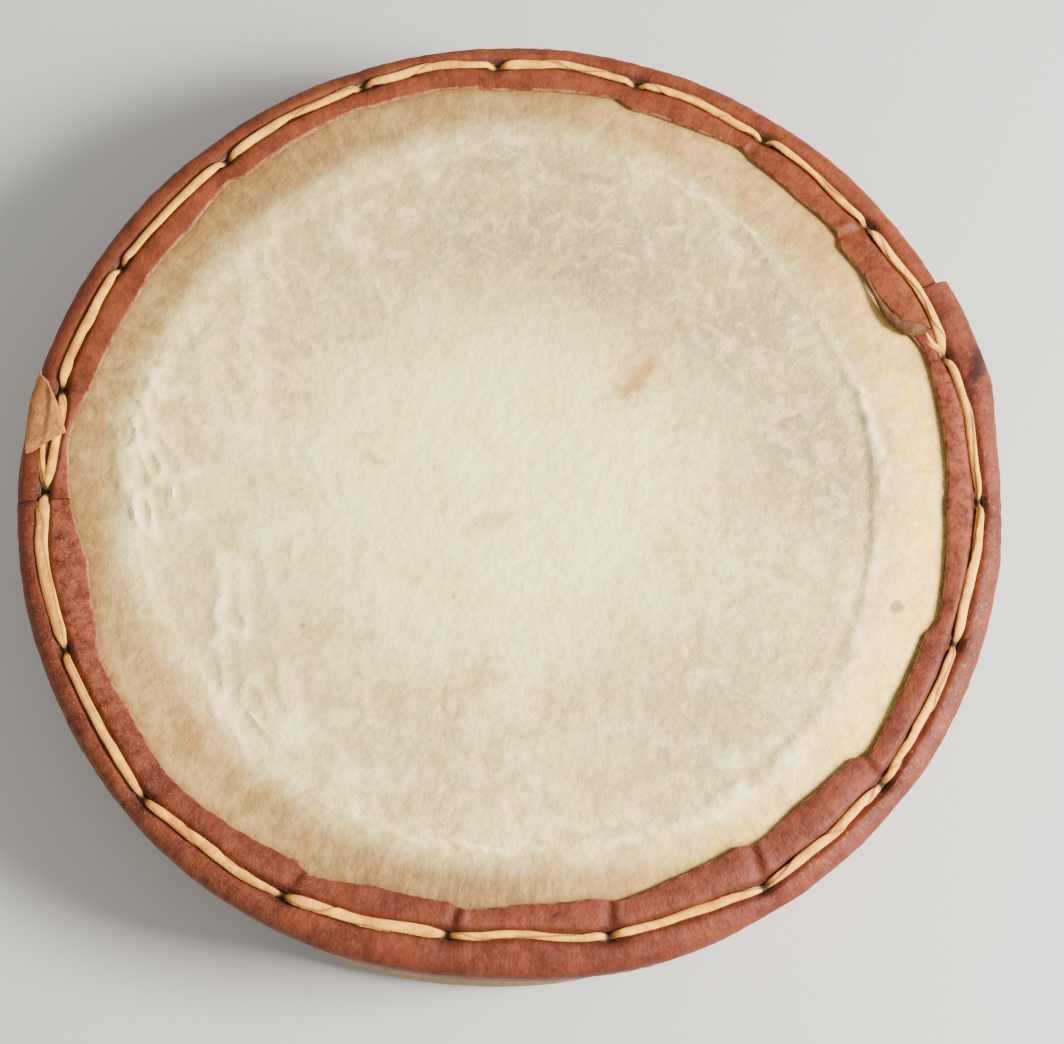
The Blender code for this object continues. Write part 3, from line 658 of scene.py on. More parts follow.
def cut_holes(angle, along, half_length, half_width):
    """Opens an oval at each lacing hole in a grid, and returns the cells that stay."""
    round_rim, outwards, index = nearest_hole(angle, along)
    oval = np.hypot(round_rim / half_length, outwards / half_width)
    middle = (oval[:-1, :-1] + oval[1:, :-1] + oval[:-1, 1:] + oval[1:, 1:]) / 4
    gone = middle < 1.0
    touches_gone = np.zeros(angle.shape, bool)
    touches_kept = np.zeros(angle.shape, bool)
    for rows in (slice(0, -1), slice(1, None)):
        for cells in (slice(0, -1), slice(1, None)):
            touches_gone[rows, cells] |= gone
            touches_kept[rows, cells] |= ~gone
    border = touches_gone & touches_kept
    shrink = np.where(border, 1.0 / np.maximum(oval, 0.05), 1.0)
    new_angle = angle + np.where(border, (shrink - 1) * round_rim / DEGREE, 0.0)
    new_along = along + np.where(border, (shrink - 1) * outwards, 0.0)
    return new_angle, new_along, ~gone


class Finish:
    """One material, and short ways to add the nodes that it is made of."""

    def __init__(self, name):
        self.material = bpy.data.materials.new(name)
        self.material.use_nodes = True
        self.nodes = self.material.node_tree.nodes
        self.shader = self.nodes["Principled BSDF"]
        self.place = self.add("ShaderNodeTexCoord").outputs["Object"]

    def add(self, kind, **settings):
        node = self.nodes.new(kind)
        for key, value in settings.items():
            setattr(node, key, value)
        return node

    def feed(self, socket, value):
        if isinstance(value, bpy.types.NodeSocket):
            self.material.node_tree.links.new(value, socket)
        elif hasattr(value, "__len__") and len(value) == 3 and socket.type == "RGBA":
            socket.default_value = (*value, 1.0)
        else:
            socket.default_value = value

    def kept(self, name, output="Fac"):
        return self.add("ShaderNodeAttribute", attribute_name=name).outputs[output]

    def share(self, *values):
        """The product of several shares."""
        total = values[0]
        for value in values[1:]:
            total = self.math("MULTIPLY", total, value)
        return total

    def math(self, operation, first, second):
        node = self.add("ShaderNodeMath", operation=operation)
        self.feed(node.inputs[0], first)
        self.feed(node.inputs[1], second)
        return node.outputs[0]

    def spread(self, value, low, high, to_low=0.0, to_high=1.0):
        node = self.add("ShaderNodeMapRange", interpolation_type="SMOOTHSTEP")
        for socket, number in zip(node.inputs, (value, low, high, to_low, to_high)):
            self.feed(socket, number)
        return node.outputs[0]

    def mix(self, share, first, second):
        node = self.add("ShaderNodeMix", data_type="RGBA")
        self.feed(node.inputs[0], share)
        self.feed(node.inputs[6], first)
        self.feed(node.inputs[7], second)
        return node.outputs[2]

    def paint(self, tint, *shares):
        """Lays a colour over the finish, as strongly as the product of the shares."""
        self.colour = self.mix(self.share(*shares), self.colour, tint)

    def paint_spots(self, spots, ragged):
        for x, y, half_length, half_width, turn, strength, tint in spots:
            self.paint(tint, self.spot((x, y), (half_length, half_width), turn, ragged), strength)

    def round_rim(self, *size):
        """Places counted round the rim and across it, divided by `size` along each axis."""
        return self.mapped(size=size, place=self.kept("round", "Vector"))

    def mapped(self, location=(0, 0, 0), turn=0.0, size=(1, 1, 1), place=None):
        """Places seen from `location`, turned, and divided by `size` along each axis."""
        node = self.add("ShaderNodeMapping", vector_type="TEXTURE")
        self.feed(node.inputs["Vector"], place or self.place)
        node.inputs["Location"].default_value = location
        node.inputs["Rotation"].default_value = (0, 0, radians(turn))
        node.inputs["Scale"].default_value = size
        return node.outputs[0]

    def noise(self, size, detail=3.0, roughness=0.55, place=None, distortion=0.0):
        """Noise from 0 to 1 with features about `size` across."""
        node = self.add("ShaderNodeTexNoise")
        self.feed(node.inputs["Vector"], place or self.place)
        node.inputs["Scale"].default_value = 1.0 / size
        node.inputs["Detail"].default_value = detail
        node.inputs["Roughness"].default_value = roughness
        node.inputs["Distortion"].default_value = distortion
        return node.outputs["Fac"]

    def cells(self, size):
        node = self.add("ShaderNodeTexVoronoi")
        self.feed(node.inputs["Vector"], self.place)
        node.inputs["Scale"].default_value = 1.0 / size
        return node.outputs["Distance"]

    def spot(self, middle, half_sizes, turn, ragged, soft=0.7):
        """1 inside an oval spot that is seen from above, 0 outside, with a ragged border."""
        place = self.mapped((*middle, 0.0), turn, (*half_sizes, 10.0))
        node = self.add("ShaderNodeVectorMath", operation="LENGTH")
        self.feed(node.inputs[0], place)
        rough = self.math("MULTIPLY", self.math("SUBTRACT", ragged, 0.5), 2.0)
        reach = self.math("ADD", node.outputs["Value"], rough)
        return self.spread(reach, 1.0 - soft, 1.0 + soft * 0.3, 1.0, 0.0)

    def bump(self, height, distance, below=None):
        node = self.add("ShaderNodeBump")
        node.inputs["Distance"].default_value = distance
        self.feed(node.inputs["Height"], height)
        if below is not None:
            self.feed(node.inputs["Normal"], below)
        return node.outputs["Normal"]

    def end(self, roughness, normal, specular=0.5):
        self.feed(self.shader.inputs["Base Color"], self.colour)
        self.feed(self.shader.inputs["Roughness"], roughness)
        self.feed(self.shader.inputs["Normal"], normal)
        self.shader.inputs["Specular IOR Level"].default_value = specular
        return self.material


def times(colour, share):
    return tuple(share * part for part in colour)


def rawhide_finish():
    """Dried hide: cream in the middle, softly clouded and specked, with a tan rim, painted highlights on
    its folds and puckered ring, and painted shade beside the folds and along the leather's edge.
    """
    f = Finish("rawhide")
    speck = f.noise(0.0006, 2, 0.6)
    mottle = f.noise(0.0038, 3, 0.52)
    cloud = f.noise(0.0140, 4, 0.55)
    streak = f.noise(0.0030, 4, 0.65, place=f.round_rim(1.0, 1.0, 4.0))
    soft = f.math("ADD", f.math("MULTIPLY", mottle, 0.45), f.math("MULTIPLY", cloud, 0.55))
    spread = f.spread(soft, 0.42, 0.58)
    cream = f.mix(spread, (0.98, 0.84, 0.34), (0.95, 0.77, 0.28))
    stone = f.mix(spread, (0.94, 0.74, 0.27), (0.62, 0.45, 0.155))
    age = f.math("ADD", f.kept("aged"), f.math("MULTIPLY", f.math("SUBTRACT", soft, 0.5), 4.0))
    f.colour = f.mix(f.spread(age, 0.20, 1.10), cream, stone)
    patches = f.share(f.kept("cloudy"), f.spread(soft, 0.70, 0.44), 0.95)
    f.paint((0.36, 0.265, 0.118), patches)
    pucker = f.noise(0.0065, 3, 0.5, distortion=0.8)
    f.paint((0.98, 0.84, 0.42), f.kept("aged"), f.spread(pucker, 0.50, 0.66), 0.36)
    f.paint((0.46, 0.34, 0.15), f.spread(speck, 0.56, 0.70), 0.22)
    f.paint((0.98, 0.90, 0.58), f.spread(speck, 0.44, 0.32), 0.30)
    # Painted shade in the hollows beside the folds
    f.paint((0.50, 0.365, 0.145), f.kept("beside"), 0.34)
    # Painted highlight on the fold ridges and the puckered ring
    fold_highlights = f.share(f.kept("relief"), f.spread(mottle, 0.38, 0.56, 0.45, 1.0))
    f.paint((1.0, 0.86, 0.42), fold_highlights)
    tan = f.mix(spread, (0.54, 0.33, 0.108), (0.39, 0.213, 0.060))
    pale = f.mix(spread, (0.98, 0.66, 0.18), (0.92, 0.56, 0.135))
    # Paler rim towards the key light: partly its own tone, partly painted light
    rim = f.mix(f.kept("pale_and_painted_light"), tan, pale)
    browned = f.share(f.kept("browned"), f.spread(streak, 0.35, 0.65, 0.5, 1.0))
    rim = f.mix(browned, rim, (0.21, 0.109, 0.030))
    rim = f.mix(f.share(f.spread(streak, 0.52, 0.70), 0.30), rim, (0.33, 0.185, 0.062))
    f.paint(rim, f.kept("rim"))
    f.paint_spots(STAINS, mottle)
    dots = f.spread(f.cells(0.0048), 0.06, 0.11, 1.0, 0.0)
    f.paint((0.24, 0.16, 0.08), dots, f.spread(cloud, 0.44, 0.56), 0.45)
    # Painted shadow along the leather's inner edge, and painted shade just inside the puckered ring
    f.paint((0.085, 0.044, 0.013), f.kept("painted_hide_shade"), f.spread(speck, 0.3, 0.6, 0.7, 1.0))
    f.paint((0.42, 0.27, 0.12), f.kept("underside"))
    rough = f.spread(speck, 0.3, 0.7, 0.55, 0.72)
    normal = f.bump(mottle, 0.0008)
    return f.end(rough, f.bump(speck, 0.00010, normal), specular=0.35)


def leather_finish(name, deep, bright, flush):
    """Red leather: mottled and grained, worn on its swellings, with painted shade in the thong's groove and
    round the holes and painted glints on the shoulder.
    """
    f = Finish(name)
    mottle = f.noise(0.0110, 4, 0.6)
    patch = f.noise(0.0034, 5, 0.66, distortion=0.5)
    pebble = f.cells(0.0011)
    grain = f.noise(0.0005, 3, 0.6)
    wrinkle = f.noise(0.0022, 4, 0.6, place=f.round_rim(1.0, 1.0, 6.0))
    f.colour = f.mix(f.spread(mottle, 0.35, 0.65), deep, bright)
    f.paint(flush, f.spread(patch, 0.48, 0.75), 0.45)
    f.paint(times(deep, 0.5), f.spread(patch, 0.45, 0.28), 0.40)
    f.paint(times(flush, 1.3), f.kept("worn"), f.spread(patch, 0.35, 0.60), 0.75)
    f.paint((0.24, 0.080, 0.026), f.kept("faded"), f.spread(wrinkle, 0.35, 0.60), 0.8)
    # Painted shade in the thong's groove and round the holes, where the leather sinks
    f.paint((0.035, 0.008, 0.004), f.kept("groove_and_hole_shade"), 0.80)
    nap = f.spread(grain, 0.58, 0.70)
    f.paint((0.42, 0.19, 0.10), nap, f.kept("napped"), 0.55)
    # Painted highlight: glints along the shoulder on the side towards the key light
    dash = f.spread(f.noise(0.0018, 3, 0.6, place=f.round_rim(1.0, 1.0, 0.35)), 0.58, 0.67)
    f.paint((0.50, 0.20, 0.13), dash, f.kept("glint"), 0.5)
    f.paint_spots(LEATHER_STAINS, patch)
    f.paint((0.36, 0.17, 0.08), f.kept("cut"), f.spread(patch, 0.40, 0.60), 0.8)
    f.paint((0.26, 0.13, 0.07), f.kept("underside"))
    rough = f.spread(patch, 0.3, 0.7, 0.52, 0.66)
    rough = f.math("SUBTRACT", rough, f.share(dash, f.kept("glint"), 0.15))
    normal = f.bump(wrinkle, 0.00022)
    normal = f.bump(pebble, 0.00010, normal)
    return f.end(rough, f.bump(grain, 0.00006, normal), specular=0.18)


def thong_finish():
    """Pale leather lace: flesh-coloured, dirtier in places, with painted shade where it enters a hole and
    in the crease along its winding edge.
    """
    f = Finish("thong_leather")
    fibre = f.noise(0.0008, 4, 0.65)
    stretch = f.noise(0.0060, 4, 0.6)
    f.colour = f.mix(f.spread(stretch, 0.35, 0.65), (0.97, 0.485, 0.070), (0.66, 0.26, 0.038))
    f.paint((0.44, 0.18, 0.045), f.spread(fibre, 0.5, 0.7), 0.5)
    # Painted shade in the crease along the thong's winding free edge
    f.paint((0.12, 0.045, 0.014), f.kept("edge"), 0.75)
    # Painted shade where the thong dips into its holes
    f.paint((0.022, 0.014, 0.006), f.kept("painted_shade"))
    normal = f.bump(stretch, 0.0005)
    return f.end(f.spread(fibre, 0.3, 0.7, 0.60, 0.80), f.bump(fibre, 0.00022, normal),
                 specular=0.25)


def suede_finish(name, deep, bright):
    """The fluffy flesh side of undyed leather."""
    f = Finish(name)
    nap = f.noise(0.0007, 5, 0.72)
    patch = f.noise(0.0040, 4, 0.6)
    f.colour = f.mix(f.spread(patch, 0.35, 0.65), deep, bright)
    f.paint(times(bright, 1.45), f.spread(nap, 0.5, 0.7), 0.5)
    normal = f.bump(patch, 0.0004)
    return f.end(f.spread(nap, 0.3, 0.7, 0.80, 0.95), f.bump(nap, 0.00035, normal),
                 specular=0.15)


def wood_finish():
    """Carved wood, with its grain running round the ring."""
    f = Finish("carved_wood")
    place = f.round_rim(8.0, 8.0, 1.0)
    rings = f.noise(0.0016, 5, 0.6, place=place, distortion=0.4)
    pores = f.noise(0.0006, 3, 0.6, place=place)
    patch = f.noise(0.0150, 4, 0.6)
    f.colour = f.mix(f.spread(rings, 0.35, 0.65), (0.26, 0.125, 0.050), (0.15, 0.066, 0.026))
    f.paint((0.10, 0.048, 0.022), f.spread(patch, 0.4, 0.7), 0.5)
    f.paint((0.05, 0.024, 0.012), f.spread(pores, 0.6, 0.75), 0.6)
    normal = f.bump(rings, 0.00025)
    return f.end(f.spread(patch, 0.3, 0.7, 0.55, 0.75), f.bump(pores, 0.00012, normal))


def crease_radius(angle):
    return changing(angle, CREASE_RADIUS, CREASE_DRIFT)


def head_point(angle, distance, lift):
    """Places on the hide, by their distance from its middle along the hide."""
    angle, distance, lift = np.broadcast_arrays(angle, distance, lift)
    along = distance - CROWN_TOP_RADIUS
    share = np.minimum(distance / CROWN_TOP_RADIUS, 1.0)
    free = turned(angle, distance, SHELL_HEIGHT + lift - HIDE_SAG * (1 - share ** HIDE_SAG_POWER))
    return np.where((along < 0)[..., None], free, rim_point(angle, np.maximum(along, 0.0), lift))


def hide_relief(angle, distance):
    """Height of the hide's relief, how strong the painted highlight on its folds and puckered ring is, and
    how strong the painted shade in the hollows beside the folds is.
    """
    flat = turned(angle, distance, 0.0)
    inside = crease_radius(angle) - distance
    turn = radians(FOLD_DIRECTION)
    forward = flat[..., 0] * cos(turn) + flat[..., 1] * sin(turn)
    aside = layered(flat, FOLD_WAVES, flat[..., 0] * sin(turn) - flat[..., 1] * cos(turn))
    leaning = stacked(aside, forward * FOLD_STRETCH, 0.0)
    ridge = bell(noise(leaning, FOLD_WIDTH, FOLD_SEED), FOLD_SHARPNESS)
    breaks = smooth_step(noise(leaning, FOLD_WIDTH * BREAK_SHARE, BREAK_SEED), *BREAKS)
    reach = np.where(inside > 0, np.exp(-np.maximum(inside, 0) / FOLD_REACH), bell(inside, FOLD_FADE_OUT))
    strength = reach * changing(angle, FOLD_LEAST, FOLD_PLACES)
    folds = ridge * breaks * strength
    # Strength of the painted shade in the hollows beside each fold
    beside = strength * (1 - ridge) * smooth_step(inside, 0.0, BESIDE_FADE)
    ragged = layered(flat, CREASE_RAGGED)
    broken = np.clip(layered(flat, CREASE_BROKEN, CREASE_WHOLE), 0.0, 1.0)
    crumple = bell(inside + ragged, changing(angle, CREASE_SPREAD, CREASE_WIDENS)) * broken
    crumple = crumple * changing(angle, CREASE_LEAST, CREASE_PLACES)
    hollow = HOLLOW_DEPTH * bell(inside - HOLLOW_PLACE, HOLLOW_SPREAD)
    height = FOLD_HEIGHT * folds + CREASE_HEIGHT * (crumple - hollow)
    height = height + layered(flat, HIDE_SWELLS) * smooth_step(inside, *SWELL_FADE)
    # How strong the painted highlight is on the folds and the ring
    bright = np.clip(folds * FOLD_PAINTED_HIGHLIGHT + crumple * CREASE_PAINTED_HIGHLIGHT, 0.0, 1.0)
    return height, bright, np.clip(beside, 0.0, 1.0)


def make_head(finish):
    """The rawhide head: a sagging, puckered membrane, the rim and the side to the hem."""
    angles = np.arange(HEAD_STATIONS) * 360.0 / HEAD_STATIONS
    free = [np.linspace(*stretch, endpoint=False) for stretch in FREE_COLUMNS]
    rim = [CROWN_TOP_RADIUS + np.linspace(*stretch) for stretch in RIM_COLUMNS]
    steps = np.concatenate([*free, [CROWN_TOP_RADIUS], *rim])
    side = np.linspace(0.1, 1.0, 8)
    angle = np.repeat(angles[:, None], len(steps) + len(side), axis=1)
    hem = side_at(hem_height(angles) + HEM_RAGGED * ring_noise(angles, 0.0, *HEM_NOISE))
    down = SHOULDER_END + side * (hem[:, None] - SHOULDER_END)
    inner = np.tile(steps, (HEAD_STATIONS, 1))
    distance = np.concatenate([inner, CROWN_TOP_RADIUS + down], axis=1)
    wrapped = np.concatenate([angle, angle[:1] + 360.0])
    reach = np.concatenate([distance, distance[:1]]) - CROWN_TOP_RADIUS
    new_angle, new_along, keep = cut_holes(wrapped, reach, HIDE_HOLE_HALF_LENGTH, HIDE_HOLE_HALF_WIDTH)
    angle = new_angle[:-1]
    distance = new_along[:-1] + CROWN_TOP_RADIUS
    relief, bright, beside = hide_relief(angle, distance)
    along = distance - CROWN_TOP_RADIUS
    flared = bump(angle, *HEM_FLARE) * smooth_step(along, side_at(STRIP_EDGE_HEIGHT), side_at(HEM_HEIGHT))
    wave = SKIRT_WAVE * ring_noise(angle, distance, *SKIRT_NOISE)
    flared = flared + np.maximum(wave, 0) * smooth_step(along, SHOULDER_END, hem.mean())
    top = head_point(angle, distance, HIDE_TOP + relief + flared)
    bottom = head_point(angle, distance, HIDE_UNDER + relief + flared)
    flat = turned(angle, distance, 0.0)
    border = layered(flat, RIM_RAGGED, crease_radius(angle) + RIM_OUTWARDS)
    cloudy = CLOUDED_SHARE * smooth_step(distance, *CLOUDED)
    for x, y, spread, strength in GREY_PATCHES:
        away_from = np.hypot(1000 * flat[..., 0] - x, 1000 * flat[..., 1] - y)
        cloudy = cloudy + strength * bell(away_from, spread)
    # Painted shadow that the leather's inner edge casts on the hide, strongest towards the key light, and
    # painted shade inside the ring
    edge = CROWN_TOP_RADIUS + inner_edge(angle)
    painted_shade = changing(angle, *EDGE_SHADOW) * smooth_step(distance, edge - EDGE_SHADOW_WIDTH, edge - EDGE_SHADOW_FULL)
    crease_shade = bell(crease_radius(angle) - distance - CREASE_SHADE_PLACE, CREASE_SHADE_WIDTH)
    crease_shade = crease_shade * bump(angle, *CREASE_SHADE)
    values = {
        # relief holds the painted highlight on folds and ring, beside the painted shade in the hollows next
        # to the folds
        "relief": bright,
        "beside": beside,
        # Aged towards the rim, less on the left, which is painted paler to stand in for light where the key
        # light falls off
        "aged": smooth_step(distance, *AGED) * (1 - bump(angle, *LEFT_PAINTED_LIGHT)),
        "rim": smooth_step(distance, border - RIM_BLEND[0], border + RIM_BLEND[1]),
        "browned": np.clip(changing(angle, 0.0, BROWNED), 0.0, 1.0),
        "cloudy": np.clip(cloudy, 0.0, 1.0),
        "pale_and_painted_light": np.clip(changing(angle, *RIM_PALE_AND_PAINTED_LIGHT), 0.0, 1.0),
        "painted_hide_shade": painted_shade + crease_shade,
    }
    pole = [head_point(0.0, 0.0, lift) for lift in (HIDE_TOP + relief[0, 0], HIDE_UNDER + relief[0, 0])]
    piece = sheet_piece("rawhide_head", top, bottom, finish, keep, closed=True, pole=pole, values=values)
    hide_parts("drum_head")
    return piece


def seam_angle(along):
    """Angle of the right-hand seam across the strip, a zigzag with its tip at the thong."""
    line = stitch_line(RIGHT_SEAM_LACE)
    inner = inner_edge(RIGHT_SEAM_EDGE)
    places = [inner, line - RIGHT_SEAM_JOG, line + RIGHT_SEAM_JOG, SHOULDER_END]
    angles = [RIGHT_SEAM_EDGE, RIGHT_SEAM_LACE, RIGHT_SEAM_SIDE, RIGHT_SEAM_SIDE - RIGHT_SEAM_BACK]
    return np.interp(along, places, angles)


def steps_between(start, end, count):
    """Evenly spaced places past `start`, the last of them at `end`."""
    return [start + share * (end - start) for share in np.linspace(0, 1, count + 1)[1:]]


def strip_columns(angle):
    """Places across the strip at each angle, from its inner edge to its lower edge."""
    inner = inner_edge(angle) + EDGE_RAGGED * ring_noise(angle, 0.0, *EDGE_NOISE)
    line = stitch_line(angle)
    edge = strip_edge(angle)
    near_edge = [inner + step for step in EDGE_STEPS]
    margin = steps_between(near_edge[-1], line - MARGIN_END, 13)
    middle = [line + step for step in np.linspace(-LACE_BED, LACE_BED, 7)]
    outside = steps_between(middle[-1], SHOULDER_START, 3)
    over = [np.full_like(angle, place) for place in np.linspace(SHOULDER_START, SHOULDER_END, 6)[1:]]
    down = steps_between(SHOULDER_END, edge, 12)
    return np.stack(near_edge + margin + middle + outside + over + down, axis=-1)


def strip_relief(angle, along):
    """How far the leather swells or sinks, away from its plain thickness, with the mask of painted shade in
    the thong's groove and round the holes, and how worn its swellings are.
    """
    index, share = in_stitch(angle)
    inner = inner_edge(angle)
    lace = lace_line(angle)
    arch = np.sin(pi * share) ** PUFF_FULLNESS
    arch_inside, arch_outside = (least + (1 - least) * arch for least in PUFF_LEAST)
    inwards = np.clip((lace - along) / (lace - inner), 0.0, 1.0)
    puff = PUFF_INSIDE * np.sin(pi * inwards ** PUFF_SHIFT) * arch_inside
    outwards = np.clip((along - lace) / (SHOULDER_END - lace), 0.0, 1.0)
    puff = puff + PUFF_OUTSIDE * np.sin(pi * outwards) * arch_outside
    side = smooth_step(along, SHOULDER_MIDDLE, SHOULDER_END + SIDE_FADE)
    groove = GROOVE_DEPTH * (1 - smooth_step(np.abs(along - lace), *GROOVE_SIDE)) * (1 - side)
    round_rim, across, hole = nearest_hole(angle, along)
    pinch = PINCH_DEPTH * bell(np.hypot(round_rim, across * PINCH_FLATTENED), PINCH_REACH) * (1 - side)
    crease = round_rim - PLEAT_PAST_HOLE + PLEAT_LEAN * across
    fade = smooth_step(-across, 0.0, PLEAT_FADE)
    pleat = PLEAT_HEIGHT * PLEATS[hole] * fade * (crease / PLEAT_SPREAD) * bell(crease, PLEAT_SPREAD * 1.4)
    rounding = np.clip(1 - (along - inner) / EDGE_ROUND, 0.0, 1.0)
    drop = EDGE_DROP * (1 - np.sqrt(np.maximum(1 - rounding ** 2, 0.0)))
    height = puff - groove - pinch + pleat
    for unevenness, *kind in UNEVENNESS:
        height = height + unevenness * ring_noise(angle, along, *kind)
    height = height - drop
    # Mask of the painted shade in the thong's groove and round the holes
    groove_and_hole_shade = np.clip(groove / GROOVE_DEPTH * 0.6 + pinch / PINCH_DEPTH, 0.0, 1.0)
    worn = np.clip(puff / PUFF_INSIDE, 0.0, 1.0)
    return height, groove_and_hole_shade, worn


def stand_off(angle, along):
    """How far the lower strip stands off the rim: a lip at its start, and its whole end."""
    lip = bell((angle - LEFT_SEAM) * DEGREE - LIP_PAST_SEAM, LIP_LENGTH)
    lip = LIP_HEIGHT * lip * bell(along - stitch_line(angle) - LIP_PAST_HOLES, LIP_WIDTH)
    turn = away(angle, 0.0)
    off = STAND_OFF * smooth_step(turn, STAND_OFF_START, STAND_OFF_FULL) * (turn < STAND_OFF_END)
    low = side_at(STRIP_EDGE_HEIGHT)
    places = [SHOULDER_START - STAND_OFF_BEFORE, SHOULDER_START, SHOULDER_MIDDLE, SHOULDER_END, low]
    return lip + off * np.interp(along, places, STAND_OFF_SHARES)


def make_strip(name, node, angles, seam_share, finish, extra):
    """One length of leather, with its right-hand end on the zigzag seam."""
    columns = strip_columns(angles)
    shift = seam_angle(columns) - RIGHT_SEAM_LACE
    angle = angles[:, None] + seam_share[:, None] * shift
    along = strip_columns(angle.mean(axis=1))
    angle, along, keep = cut_holes(angle, along, HOLE_HALF_LENGTH, HOLE_HALF_WIDTH)
    height, groove_and_hole_shade, worn = strip_relief(angle, along)
    off = extra(angle, along)
    top = rim_point(angle, along, STRIP_TOP + height + off)
    raised = np.maximum(height, 0.0) * HOLLOWED
    bottom = rim_point(angle, along, STRIP_UNDER + raised + off)
    cut = np.zeros(angle.shape)
    cut[:, :2] = 1.0
    cut[:, -1] = 1.0
    shoulder = bell(along - SHOULDER_START - GLINT_PAST_TOP, GLINT_WIDTH)
    inside = 1 - smooth_step(along, STITCH_LINE - 0.001, STITCH_LINE + 0.001)
    values = {
        "groove_and_hole_shade": groove_and_hole_shade,
        "worn": np.clip(WORN_PUFFS * worn + inside * changing(angle, 0.0, BRIGHT_WORN), 0.0, 1.0),
        "cut": cut,
        "faded": bump(angle, *FADED) * smooth_step(along, SHOULDER_START - 0.001, SHOULDER_END),
        "napped": bump(angle, *NAPPED) + NAPPED_LEAST,
        # Painted highlight along the shoulder towards the key light
        "glint": shoulder * bump(angle, *GLINT),
    }
    piece = sheet_piece(name, top, bottom, finish, keep, values=values)
    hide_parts(node)
    return piece


def make_upper_strip(finish):
    """From the right-hand seam round the top to the left-hand one."""
    angles = np.linspace(RIGHT_SEAM_LACE, LEFT_SEAM, UPPER_STATIONS)
    share = np.clip(1 - (angles - RIGHT_SEAM_LACE) / SEAM_BLEND, 0.0, 1.0) ** 2
    return make_strip("leather_upper", "binding_upper", angles, share, finish, lambda angle, along: 0.0)


def make_lower_strip(finish):
    """From the left-hand seam round the bottom to the right-hand one."""
    gap = SEAM_GAP / DEGREE
    end = RIGHT_SEAM_LACE + 360.0 - gap
    angles = np.linspace(LEFT_SEAM + gap, end, LOWER_STATIONS)
    share = np.clip(1 - (end - angles) / SEAM_BLEND, 0.0, 1.0) ** 2
    return make_strip("leather_lower", "binding_lower", angles, share, finish, stand_off)


def path_on_rim(angle, along, lift):
    """A path's points, and there the ways that lead away from the wood and along the path."""
    centre = rim_point(angle, along, lift)
    upright = rim_point(angle, along, lift + 0.001) - centre
    return centre, upright, unit(np.gradient(centre, axis=0))


def strand_mesh(angle, along, lift, width, thickness, twist, lean, painted_shade):
    """Points and faces of a thong rolled on itself, whose free edge winds round it."""
    centre, upright, tangent = path_on_rim(angle, along, lift)
    normal = unit(upright - (upright * tangent).sum(axis=1)[:, None] * tangent)
    aside = np.cross(tangent, normal)
    turn = np.arange(STRAND_SIDES) * 2 * pi / STRAND_SIDES
    from_edge = ((turn[None, :] - np.radians(twist)[:, None]) / (2 * pi)) % 1.0
    shut = smooth_step(from_edge, THONG_LAP_SHUTS, 1.0)
    lap = 1 - THONG_LAP / 2 + THONG_LAP * from_edge - THONG_LAP * shut
    across = width[:, None] / 2 * lap * np.cos(turn)
    up = thickness[:, None] / 2 * lap * np.sin(turn)
    leaning = np.radians(lean)[:, None]
    sideways = across * np.cos(leaning) - up * np.sin(leaning)
    upwards = across * np.sin(leaning) + up * np.cos(leaning)
    points = centre[:, None] + sideways[..., None] * aside[:, None] + upwards[..., None] * normal[:, None]
    count = len(angle)
    index = np.arange(count * STRAND_SIDES).reshape(count, STRAND_SIDES)
    after = np.roll(index, -1, axis=1)
    faces = np.stack([index[:-1], index[1:], after[1:], after[:-1]], axis=-1).reshape(-1, 4).tolist()
    faces.append(index[0].tolist())
    faces.append(index[-1][::-1].tolist())
    # Mask of the painted shade in the crease along the free edge
    edge = np.clip(smooth_step(from_edge, 0.90, 0.97) + 1 - smooth_step(from_edge, 0.0, 0.05), 0.0, 1.0)
    return points.reshape(-1, 3), faces, np.repeat(painted_shade, STRAND_SIDES), edge.ravel()


def dip(distance):
    """How far up a thong is, from 0 at the bottom of a hole to 1 on the leather."""
    return smooth_step(np.abs(distance), DIP_FLAT, DIP_REACH)


def lace_lift(rise, rest, thickness):
    """Height of the thong's middle above the wood, from the bottom of a hole up to `rest`."""
    in_hole = HIDE_UNDER + thickness / 2
    return in_hole + rise * (rest + thickness / 2 - in_hole)


def lace_run(first, last):
    """The thong from one hole to another, dipping through each hole on the way."""
    start = HOLE_ANGLES[first]
    end = HOLE_ANGLES[last % len(STITCHES)] + 360.0 * (last // len(STITCHES))
    count = int((end - start) * DEGREE / STRAND_STEP)
    angle = np.linspace(start, end, count)
    along = lace_line(angle)
    round_rim, _, _ = nearest_hole(angle, along)
    rise = dip(round_rim)
    full = smooth_step(np.abs(round_rim), DIP_FLAT, THONG_TAPER)
    uneven = 1 + THONG_NARROWED * ring_noise(angle, 0.0, *THONG_NARROWED_NOISE)
    index, _ = in_stitch(angle)
    width = (THONG_END_WIDTH + full * (WIDTHS[index] - THONG_END_WIDTH)) * uneven
    thickness = (THONG_END_THICKNESS + full * (THONG_THICKNESS - THONG_END_THICKNESS)) * uneven
    lift = lace_lift(rise, STRIP_TOP - GROOVE_DEPTH + 0.0001, thickness)
    wave = THONG_WAVE * ring_noise(angle, 0.0, *THONG_WAVE_NOISE)
    twist = 90.0 + THONG_TURNING * ring_noise(angle, 0.0, *THONG_TURNING_NOISE)
    lean = THONG_LEAN * ring_noise(angle, 0.0, *THONG_LEAN_NOISE)
    # Painted shade where the thong dips into a hole
    painted_shade = 1 - smooth_step(np.abs(round_rim), *THONG_HOLE_SHADE)
    return angle, along + wave * rise, lift, width, thickness, twist, lean, painted_shade


